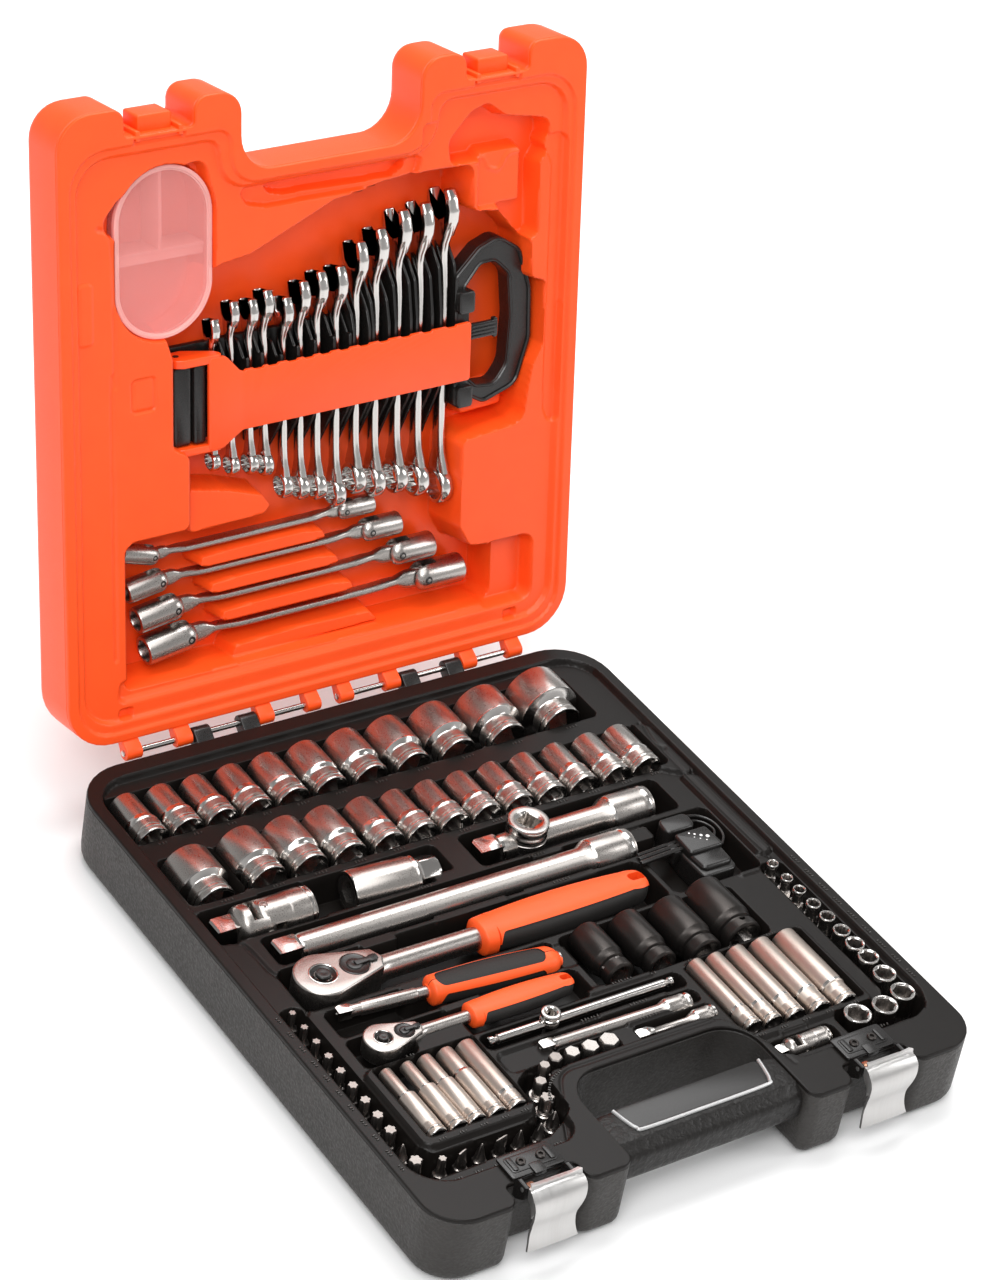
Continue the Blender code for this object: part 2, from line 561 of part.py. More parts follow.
def rack():
    step = (WRENCH_X1 - WRENCH_X0) / (WRENCHES - 1)
    plate = box(-96, 104, 178, 242, -35.6, -31)
    fins = []
    for i in range(WRENCHES + 1):
        x = wrench_x(i) - step / 2
        fins.append(prism([(x - 3.6, 182), (x + 3.6, 182), (x + 3.6, 238), (x - 3.6, 238)], -31.5, -13))
    hinge_block = box(-101, -92, 184, 236, -32, -15)
    post = box(101, 108, 186, 234, -35.6, -14)
    arc = [math.pi / 2 - math.pi * k / 8 for k in range(9)]
    outer = [(110 + 46 * math.cos(a), 222 + 54 * math.sin(a)) for a in arc]
    inner = [(112 + 32 * math.cos(a), 222 + 40 * math.sin(a)) for a in arc]
    ring = prism([(104, 276), (104, 168)] + outer[::-1], -28, -14)
    window = prism([(112, 262), (112, 182)] + inner[::-1], -30, -12)
    bore = moved(rod(183, 237, 1.6, 10), x=-96.5, z=-19, along='Y')
    return piece("wrench_rack", PLASTIC_BLACK, [plate],
                 [('+', fins), ('+', [hinge_block]), ('+', [ring]), ('-', [window]), ('+', [post]),
                  ('-', [bore])], frame=LID_FRAME)


def strap():
    band = prism([(-90, 182), (-64, 182), (-56, 190), (107, 190), (107, 230), (-56, 230), (-64, 240),
                  (-90, 240)], -11.5, -8.5)
    ears = [box(-101, -88, a, b, -22, -8.6) for a, b in ((237.4, 240.4), (179.6, 182.6))]
    bridge = box(-91, -88, 181, 239, -14, -8.6)
    pins = [moved(rod(a, b, 1.3, 10), x=-96.5, z=-19, along='Y') for a, b in ((232, 238), (182, 188))]
    tongue = box(106, 128, 216, 224, -11.5, -9)
    return piece("rack_strap", ORANGE, [band],
                 [('+', [bridge]), ('+', ears), ('+', [tongue]), ('+', pins)],
                 origin=(-96.5, 210, -19), frame=LID_FRAME)


def parts_box():
    floor = [(BOX_X + x, BOX_Y + y) for x, y in stadium(BOX_L, BOX_W)]
    inside = [(BOX_X + x, BOX_Y + y) for x, y in stadium(BOX_L - 2.4, BOX_W - 2.4)]
    across_wall = box(BOX_X - BOX_W / 2 + 0.6, BOX_X + BOX_W / 2 - 0.6, BOX_Y - 0.7, BOX_Y + 0.7, -32.5, -11)
    along_wall = box(BOX_X - 0.7, BOX_X + 0.7, BOX_Y, BOX_Y + BOX_L / 2 - 0.6, -32.5, -11)
    piece("parts_box", CLEAR, [prism(floor, -33.5, -9.6)],
          [('-', [prism(inside, -32.2, -5)]), ('+', [across_wall]), ('+', [along_wall])], frame=LID_FRAME)
    rim = [(BOX_X + x, BOX_Y + y) for x, y in stadium(BOX_L + 1.2, BOX_W + 1.2)]
    piece("parts_box_cover", CLEAR, [prism(rim, -9.3, -7.6)], frame=LID_FRAME)


# x of the left and right pivots, y of the shank, head diameters, left head's tilt
FLEX_WRENCHES = ((-111.0, 25.0, 113.5, 12.5, 16.0), (-106.5, 43.5, 96.0, 15.0, -8.0),
                 (-96.5, 65.5, 76.0, 17.0, -8.0), (-88.0, 85.0, 55.0, 19.0, -8.0))
FLEX_Z = -25.0


def flex_wrenches():
    for number, (left, right, y, width, tilt) in enumerate(FLEX_WRENCHES, 1):
        r, name = width / 2, f"flex_wrench_{number}"
        slot = r * 0.42
        neck = r * 1.5
        shank = box(left + neck, right - neck, y - r * 0.42, y + r * 0.42, FLEX_Z - 2.2, FLEX_Z + 2.2)
        eyes = [prism([(x + dx, y + dy) for dx, dy in
                       ((0, -r * 0.62), (s * r * 0.8, -r * 0.62), (s * (neck + 1), -r * 0.40),
                        (s * (neck + 1), r * 0.40), (s * r * 0.8, r * 0.62), (0, r * 0.62),
                        (-s * r * 0.5, r * 0.3), (-s * r * 0.5, -r * 0.3))][::s],
                      FLEX_Z - slot + GAP, FLEX_Z + slot - GAP) for x, s in ((left, 1), (right, -1))]
        holes = [moved(rod(FLEX_Z - r, FLEX_Z + r, r * 0.2 + GAP, 8), x, y) for x in (left, right)]
        smooth(piece(name, STEEL, [shank], [('+', eyes), ('-', holes)], frame=LID_FRAME))
        flex_head(f"{name}_head_left", left, y, r, slot, 180.0 - tilt)
        flex_head(f"{name}_head_right", right, y, r, slot, 0.0)


def flex_head(name, x, y, r, slot, turned):
    """A socket head on its pivot, mouth outwards, forked around the shank's eye."""
    length = r * 3.0 if r > 7 else r * 3.4
    body = moved(lathe([(-r * 0.75, r * 0.62), (-r * 0.3, r * 0.95), (0, r), (length, r)], 14), along='X')
    throat = box(-r * 1.2, r * 1.15, -r - 1, r + 1, -slot, slot)
    pin = rod(-r * 0.82, r * 0.82, r * 0.2, 8)
    mouth = moved(regular(r * 1.36, 6, length - r * 1.3, length + 1), along='X')
    body, throat, pin, mouth = (moved(shape, x, y, FLEX_Z, spin=turned)
                                for shape in (body, throat, pin, mouth))
    smooth(piece(name, CHROME, [body], [('-', [throat]), ('+', [pin]), ('-', [mouth])],
                 origin=(x, y, FLEX_Z), frame=LID_FRAME))


def build():
    for old in list(bpy.data.objects):
        bpy.data.objects.remove(old, do_unlink=True)
    base_shell()
    base_tray()
    handle_grip()
    hinge_pin(-1, "hinge_pin_left")
    hinge_pin(1, "hinge_pin_right")
    lid_shell()
    lid_liner()
    latch("left", -LATCH_X)
    latch("right", LATCH_X)
    sockets()
    extension("extension_250", -151, 99, 22, HALF, 8.5, 12.2, 30)
    t_handles()
    ratchet("ratchet_half", -141, -12.7, 17.6, 22, 21, (7.6, 34, 190), (105, 229, 29, 22), HALF, True)
    ratchet("ratchet_quarter", -138.5, -72.7, 11.6, 12, 14, (4.2, 22, 118), (57, 130, 19, 14), QUARTER, False)
    universal_joint("joint_half", -174, 52.5, HALF, 13.0, 64, TOOL_TOP)
    universal_joint("joint_quarter", 69.5, -168, QUARTER, 6.6, 37, 0.0)
    rack()
    strap()
    parts_box()
    flex_wrenches()


build()
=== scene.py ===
"""Looks of the socket wrench set in its open case.

Detailed shells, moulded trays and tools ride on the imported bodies. Lengths are
millimetres until a mesh is written. What lies in the base is drawn in the row frame.
What lies in the lid is drawn in the lid's own frame: x as in the row frame, y from the
hinge axis towards the free edge, z out of the open side.
"""

import math

import bpy
import numpy as np
from mathutils import Matrix, Vector


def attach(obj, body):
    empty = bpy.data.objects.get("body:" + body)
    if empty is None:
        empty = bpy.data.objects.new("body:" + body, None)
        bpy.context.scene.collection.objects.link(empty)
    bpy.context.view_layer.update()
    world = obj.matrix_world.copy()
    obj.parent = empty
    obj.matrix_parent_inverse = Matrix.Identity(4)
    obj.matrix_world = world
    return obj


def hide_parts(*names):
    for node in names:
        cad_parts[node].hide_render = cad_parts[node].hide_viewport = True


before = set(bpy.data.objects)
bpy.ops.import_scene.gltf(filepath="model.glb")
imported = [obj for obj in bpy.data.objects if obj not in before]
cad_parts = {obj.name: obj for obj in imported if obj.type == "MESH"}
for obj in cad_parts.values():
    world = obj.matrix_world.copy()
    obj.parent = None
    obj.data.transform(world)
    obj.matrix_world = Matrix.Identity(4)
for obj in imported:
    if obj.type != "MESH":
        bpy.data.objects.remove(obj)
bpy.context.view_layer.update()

MM = 0.001
RIM = 48.0                     # height of the base's rim
HINGE = (0.0, 211.0, RIM)
LID = Matrix.Translation(HINGE) @ Matrix.Rotation(math.radians(77.5), 4, 'X')
FINE, ROUND, PLAIN = 96, 48, 24   # points round a turned body


# ---------------------------------------------------------------- materials
def look(name, colour, other, roughness, metallic=0.0, spread=0.06, patch=60.0, grain=2500.0,
        strength=0.12, depth=0.05, stretch=(1, 1, 1), **sockets):
    """A finish whose colour and roughness drift in patches, over a fine grain."""
    made = bpy.data.materials.new(name)
    made.use_nodes = True
    nodes, links = made.node_tree.nodes, made.node_tree.links
    shader = nodes["Principled BSDF"]
    place = nodes.new("ShaderNodeTexCoord")
    lay = nodes.new("ShaderNodeMapping")
    lay.inputs["Scale"].default_value = stretch
    links.new(place.outputs["Object"], lay.inputs["Vector"])

    def set_up(node, **values):
        for socket, value in values.items():
            node.inputs[socket.replace("_", " ")].default_value = value
        return node

    def noise(scale, detail):
        node = set_up(nodes.new("ShaderNodeTexNoise"), Scale=scale, Detail=detail)
        links.new(lay.outputs["Vector"], node.inputs["Vector"])
        return node.outputs["Fac"]

    broad, fine = noise(patch, 3.0), noise(grain, 2.0)
    tint = nodes.new("ShaderNodeMix")
    tint.data_type = 'RGBA'
    tint.inputs["A"].default_value = (*colour, 1)
    tint.inputs["B"].default_value = (*other, 1)
    links.new(broad, tint.inputs["Factor"])
    links.new(tint.outputs["Result"], shader.inputs["Base Color"])
    gloss = set_up(nodes.new("ShaderNodeMapRange"), From_Min=0.3, From_Max=0.7,
        To_Min=max(roughness - spread, 0.03), To_Max=min(roughness + spread, 1.0))
    links.new(fine, gloss.inputs["Value"])
    links.new(gloss.outputs["Result"], shader.inputs["Roughness"])
    bump = set_up(nodes.new("ShaderNodeBump"), Strength=strength, Distance=depth * MM)
    links.new(fine, bump.inputs["Height"])
    links.new(bump.outputs["Normal"], shader.inputs["Normal"])
    set_up(shader, Metallic=metallic, **sockets)
    return made


ORANGE = look("orange_plastic", (0.97, 0.086, 0.008), (0.89, 0.072, 0.006), 0.42, strength=0.10,
    Specular_IOR_Level=0.4)
ORANGE_DEEP = look("orange_strap", (0.97, 0.082, 0.008), (0.90, 0.070, 0.006), 0.36, strength=0.06)
ORANGE_GRIP = look("orange_grip", (0.94, 0.10, 0.012), (0.87, 0.085, 0.010), 0.5, grain=1600,
    strength=0.15)
TRAY = look("black_tray", (0.0058, 0.0047, 0.0041), (0.0085, 0.0070, 0.0061), 0.36, grain=1500,
    strength=0.10, Specular_IOR_Level=0.2)
# the moulded marks are the tray's own black plastic; their lighter colour is a painted highlight on the
# raised strokes
MARK_HIGHLIGHT = look("moulded_mark_painted_highlight", (0.030, 0.0265, 0.024), (0.036, 0.032, 0.029), 0.30, grain=1500,
    strength=0.10)
SHELL = look("black_shell", (0.018, 0.0160, 0.0145), (0.032, 0.0290, 0.0265), 0.50, grain=560,
    strength=0.9, depth=0.45, spread=0.12, Specular_IOR_Level=0.36)
LEATHER = look("black_leather_grain", (0.0072, 0.0064, 0.0059), (0.012, 0.0108, 0.0100), 0.42, grain=330,
    strength=0.9, depth=0.8, spread=0.1, Specular_IOR_Level=0.26)
RUBBER = look("black_grip", (0.013, 0.0117, 0.0108), (0.018, 0.0163, 0.0152), 0.62, grain=1200,
    strength=0.22, Specular_IOR_Level=0.35)
BLACK = look("black_part", (0.007, 0.0062, 0.0057), (0.011, 0.0098, 0.0092), 0.30, strength=0.08)
SATIN = look("satin_chrome", (0.46, 0.43, 0.405), (0.38, 0.355, 0.335), 0.30, 1.0, grain=1900,
    strength=0.10)
WARM = look("warm_satin_steel", (0.60, 0.52, 0.465), (0.51, 0.44, 0.39), 0.40, 1.0, grain=1900,
    strength=0.12)
BRIGHT = look("bright_chrome", (0.64, 0.615, 0.59), (0.56, 0.535, 0.515), 0.17, 1.0, spread=0.04,
    strength=0.03)
BORE = look("machined_bore", (0.46, 0.43, 0.41), (0.32, 0.30, 0.285), 0.30, 1.0, strength=0.08)
DARK_STEEL = look("blackened_steel", (0.050, 0.044, 0.041), (0.032, 0.029, 0.027), 0.34, 0.85,
    strength=0.12)
BIT_STEEL = look("bit_steel", (0.34, 0.31, 0.29), (0.24, 0.215, 0.20), 0.32, 1.0, strength=0.1)
BRUSHED = look("brushed_latch", (0.60, 0.59, 0.58), (0.52, 0.51, 0.50), 0.42, 1.0, grain=900,
    stretch=(1, 0.06, 0.06), strength=0.10, depth=0.04)
TRIM = look("silver_trim", (0.50, 0.50, 0.50), (0.44, 0.44, 0.44), 0.38, 0.6, strength=0.05)
COPPER = look("copper_spring", (0.80, 0.42, 0.28), (0.70, 0.34, 0.22), 0.28, 1.0)
CLEAR = look("clear_pink_plastic", (0.97, 0.36, 0.33), (0.95, 0.32, 0.29), 0.22, strength=0.04,
    Alpha=0.30)
CLEAR_EDGE = look("clear_pink_edge", (0.98, 0.54, 0.50), (0.96, 0.48, 0.45), 0.22, strength=0.04,
    Alpha=0.55)
WHITE = look("white_print", (0.80, 0.80, 0.80), (0.74, 0.74, 0.74), 0.5)


# ---------------------------------------------------------------- shapes: (points, faces, looks)
def eased(t):
    """A soft step from 0 to 1."""
    return t * t * (3 - 2 * t)


def angles(n):
    return 2 * np.pi * np.arange(n) / n


def regular(width, sides, n=ROUND, spin=0.0):
    """Radii round a regular polygon, WIDTH across its flats."""
    part = 2 * np.pi / sides
    return width / 2 / np.cos((angles(n) - math.radians(spin)) % part - part / 2)


def twelve(width):
    """Radii round a twelve-point ring opening."""
    return np.maximum(regular(width, 6), regular(width, 6, spin=30))


def knurled(radius, n=FINE, height=0.16):
    """Radii round a band of fine teeth."""
    return radius + height * np.where(np.arange(n) % 2, -0.5, 0.5)


def lofted(rings, closed=False, looks=None, caps=(True, True)):
    """A skin through rings of as many points; LOOKS picks each band's finish."""
    n, count = len(rings[0]), len(rings)
    faces, kinds = [], []
    for k in range(count if closed else count - 1):
        a, b = k * n, (k + 1) % count * n
        for i in range(n):
            j = (i + 1) % n
            faces.append((a + i, a + j, b + j, b + i))
            kinds.append(looks[k] if looks else 0)
    if not closed:
        if caps[0]:
            faces.append(tuple(range(n))[::-1])
            kinds.append(looks[0] if looks else 0)
        if caps[1]:
            faces.append(tuple((count - 1) * n + i for i in range(n)))
            kinds.append(looks[-1] if looks else 0)
    return np.concatenate(rings), faces, kinds


def turned(profile, closed=False, n=ROUND):
    """A body round Z through (height, radii, look) rings."""
    a = angles(n)
    rings = []
    for ring in profile:
        r = np.broadcast_to(np.asarray(ring[1], float), n)
        rings.append(np.stack([r * np.cos(a), r * np.sin(a), np.full(n, float(ring[0]))], 1))
    return lofted(rings, closed, [ring[2] if len(ring) > 2 else 0 for ring in profile])


def scaled(rows, start, along, radius):
    """Rings of a profile from rows measured in two units: ALONG the axis from START, and RADIUS."""
    return [(start + row[0] * along, row[1] * radius, *row[2:]) for row in rows]


def outline(corners, inset=0.0, steps=6):
    """A closed outline through counter-clockwise (x, y, radius) corners, inset and rounded."""
    points = np.array([c[:2] for c in corners], float)
    edges = np.roll(points, -1, 0) - points
    edges /= np.linalg.norm(edges, axis=1)[:, None]
    inward = np.stack([-edges[:, 1], edges[:, 0]], 1)
    before = np.roll(inward, 1, 0)
    points = points + inset * (inward + before) / (1 + (inward * before).sum(1))[:, None]
    made, n = [], len(points)
    for i in range(n):
        here, e0, e1 = points[i], edges[i - 1], edges[i]
        cross = e0[0] * e1[1] - e0[1] * e1[0]
        r = corners[i][2]
        if r <= 0 or abs(cross) < 1e-6:
            made.append(here)
            continue
        r = max(r - inset, 0.5) if cross > 0 else r + inset
        half = 0.5 * math.acos(max(-1.0, min(1.0, float(-e0 @ e1))))
        room = min(np.linalg.norm(points[i - 1] - here), np.linalg.norm(points[(i + 1) % n] - here)) / 2
        reach = min(r / math.tan(half), room)
        r = reach * math.tan(half)
        centre = here + (e1 - e0) / np.linalg.norm(e1 - e0) * r / math.sin(half)
        start, end = here - e0 * reach - centre, here + e1 * reach - centre
        a0, a1 = math.atan2(start[1], start[0]), math.atan2(end[1], end[0])
        sweep = (a1 - a0 + math.pi) % (2 * math.pi) - math.pi
        for k in range(steps + 1):
            a = a0 + sweep * k / steps
            made.append(centre + r * np.array((math.cos(a), math.sin(a))))
    return np.array(made)


def drawn_in(points, inset):
    """An outline moved inwards along its own normals."""
    edges = np.roll(points, -1, 0) - points
    edges /= np.maximum(np.linalg.norm(edges, axis=1), 1e-9)[:, None]
    inward = np.stack([-edges[:, 1], edges[:, 0]], 1)
    before = np.roll(inward, 1, 0)
    return points + inset * (inward + before) / np.maximum(1 + (inward * before).sum(1), 0.3)[:, None]


def at_height(points, z):
    """Flat points lifted to a height."""
    return np.column_stack([points, np.full(len(points), z)])


def slab(points, z0, z1, edge=0.0, low_edge=None, steps=3):
    """An outline extruded from z0 to z1, its top and bottom edges rounded over."""
    points = np.asarray(points, float)
    low_edge = edge if low_edge is None else low_edge

    def curve(size):
        """(depth below the face, inset) round an edge, ending at the face."""
        turns = [math.pi / 2 * k / steps for k in range(steps + 1)]
        return [(size * (1 - math.sin(a)), size * (1 - math.cos(a)))
            for a in turns] if size else [(0.0, 0.0)]

    levels = [(z0 + depth, inset) for depth, inset in curve(low_edge)[::-1]]
    levels += [(z1 - depth, inset) for depth, inset in curve(edge)]
    return lofted([at_height(drawn_in(points, inset) if inset else points, z) for z, inset in levels])


def bar(x0, x1, y0, y1, z0, z1, edge=0.4, radius=0.8):
    """A block with rounded corners and edges."""
    radius = min(radius, (x1 - x0) / 2.01, (y1 - y0) / 2.01)
    return slab(outline([(x0, y0, radius), (x1, y0, radius), (x1, y1, radius), (x0, y1, radius)],
        steps=3), z0, z1, edge, steps=2)


def ring_of(points, hole, z0, z1, edge=0.5):
    """A flat frame between an outline and a hole of as many points."""
    points, hole = np.asarray(points, float), np.asarray(hole, float)
    rings = [at_height(drawn_in(points, i), z) for z, i in ((z0 + edge, 0), (z1 - edge, 0), (z1, edge))]
    rings += [at_height(drawn_in(hole, -i), z) for z, i in ((z1, edge), (z1 - edge, 0), (z0 + edge, 0),
        (z0, edge))]
    return lofted([*rings, at_height(drawn_in(points, edge), z0)], closed=True)


def swept(path, radius, n=12):
    """A round wire along a path of points."""
    path = np.asarray(path, float)
    radius = np.broadcast_to(np.asarray(radius, float), len(path))
    way = np.gradient(path, axis=0)
    way /= np.linalg.norm(way, axis=1)[:, None]
    side = np.cross(way[0], (0.0, 0.0, 1.0))
    if np.linalg.norm(side) < 0.2:
        side = np.cross(way[0], (0.0, 1.0, 0.0))
    rings, a = [], angles(n)
    for point, along, r in zip(path, way, radius):
        side = side - along * (side @ along)
        side /= np.linalg.norm(side)
        up = np.cross(along, side)
        rings.append(point + r * (np.cos(a)[:, None] * side + np.sin(a)[:, None] * up))
    return lofted(rings)


def smoothed(points, steps=6):
    """A soft curve through points."""
    p = np.asarray(points, float)
    p = np.vstack([2 * p[0] - p[1], p, 2 * p[-1] - p[-2]])
    made = []
    for k in range(1, len(p) - 2):
        for t in np.arange(steps) / steps:
            made.append(0.5 * (2 * p[k] + (p[k + 1] - p[k - 1]) * t
                + (2 * p[k - 1] - 5 * p[k] + 4 * p[k + 1] - p[k + 2]) * t ** 2
                + (3 * p[k] - p[k - 1] - 3 * p[k + 1] + p[k + 2]) * t ** 3))
    return np.array(made + [p[-2]])


LAY = {'Z': Matrix.Identity(4), 'X': Matrix.Rotation(math.pi / 2, 4, 'Y'),
    'Y': Matrix.Rotation(-math.pi / 2, 4, 'X'), '-Y': Matrix.Rotation(math.pi / 2, 4, 'X')}


def through(shape, matrix):
    """A shape put through a matrix."""
    m = np.array(matrix)
    return shape[0] @ m[:3, :3].T + m[:3, 3], shape[1], shape[2]


def moved(shape, x=0.0, y=0.0, z=0.0, along='Z', spin=0.0, roll=0.0):
    """A shape drawn about Z, rolled about it, laid along another axis, spun about Z and moved."""
    return through(shape, Matrix.Translation((x, y, z)) @ spun(spin) @ LAY[along] @ spun(roll))


def across(yz, x0, x1, edge=0.4):
    """A closed (y, z) outline extruded along X, its ends rounded over."""
    points, faces, looks = slab(yz, x0, x1, edge)
    return points[:, [2, 0, 1]], faces, looks


def spun(degrees, axis='Z'):
    """A turn about an axis through the origin."""
    return Matrix.Rotation(math.radians(degrees), 4, axis)


def squircle(n, power):
    """A unit round square: a circle at power 2, squarer above it."""
    ring = np.column_stack([np.cos(angles(n)), np.sin(angles(n))])
    return ring * (np.abs(ring) ** power).sum(axis=1, keepdims=True) ** (-1 / power)


def dyed(shape, kind):
    """A shape wholly in one of its piece's finishes."""
    return shape[0], shape[1], [kind] * len(shape[1])


def joined(shapes):
    """Several shapes as one."""
    points, faces, looks, base = [], [], [], 0
    for p, f, k in shapes:
        points.append(np.asarray(p, float))
        faces += [tuple(i + base for i in face) for face in f]
        looks += list(k)
        base += len(p)
    return np.concatenate(points), faces, looks


def piece(name, body, shapes, finishes, stands_for=None, lid=False, sharp=32.0, cuts=()):
    """One piece of the visible object, riding on a body. Edges sharper than SHARP degrees stay crisp."""
    points, faces, looks = joined(shapes)
    mesh = bpy.data.meshes.new(name)
    mesh.from_pydata((points * MM).tolist(), [], faces)
    finishes = finishes if isinstance(finishes, (list, tuple)) else [finishes]
    for finish in finishes:
        mesh.materials.append(finish)
    mesh.polygons.foreach_set("material_index", np.minimum(looks, len(finishes) - 1).astype(np.int32))
    mesh.polygons.foreach_set("use_smooth", np.ones(len(faces), bool))
    made = bpy.data.objects.new(name, mesh)
    bpy.context.scene.collection.objects.link(made)
    for cutter in cuts:
        bored(made, cutter)
    mesh = made.data
    mesh.set_sharp_from_angle(angle=math.radians(sharp))
    if lid:
        place = LID.copy()
        place.translation = Vector(HINGE) * MM
        mesh.transform(place)
    mesh.update()
    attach(made, body)
    if stands_for:
        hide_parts(stands_for)


def bored(made, cutter):
    """Cuts a closed shape out of an object."""
    points, faces, _ = cutter
    mesh = bpy.data.meshes.new("cutter")
    mesh.from_pydata((points * MM).tolist(), [], faces)
    tool = bpy.data.objects.new("cutter", mesh)
    bpy.context.scene.collection.objects.link(tool)
    away = made.modifiers.new("bored", 'BOOLEAN')
    away.operation, away.object, away.solver = 'DIFFERENCE', tool, 'EXACT'
    graph = bpy.context.evaluated_depsgraph_get()
    graph.update()
    made.data = bpy.data.meshes.new_from_object(made.evaluated_get(graph))
    made.modifiers.clear()
    bpy.data.objects.remove(tool, do_unlink=True)


# ---------------------------------------------------------------- moulded sheets
def distance_to(x, y, points, closed=True):
    """Distance to a line of points, negative inside a closed one, and the nearest point."""
    best = np.full(x.shape, 1e9)
    near_x, near_y = np.zeros(x.shape), np.zeros(x.shape)
    inside = np.zeros(x.shape, bool)
    ends = np.roll(points, -1, 0) if closed else points[1:]
    for (ax, ay), (bx, by) in zip(points, ends):
        dx, dy = bx - ax, by - ay
        length = dx * dx + dy * dy
        if length < 1e-12:
            continue
        t = np.clip(((x - ax) * dx + (y - ay) * dy) / length, 0, 1)
        qx, qy = ax + t * dx, ay + t * dy
        d = (x - qx) ** 2 + (y - qy) ** 2
        closer = d < best
        best = np.where(closer, d, best)
        near_x, near_y = np.where(closer, qx, near_x), np.where(closer, qy, near_y)
        if closed and ay != by:
            inside ^= ((ay > y) != (by > y)) & (x < dx * (y - ay) / dy + ax)
    best = np.sqrt(best)
    return np.where(inside, -best, best) if closed else best, near_x, near_y


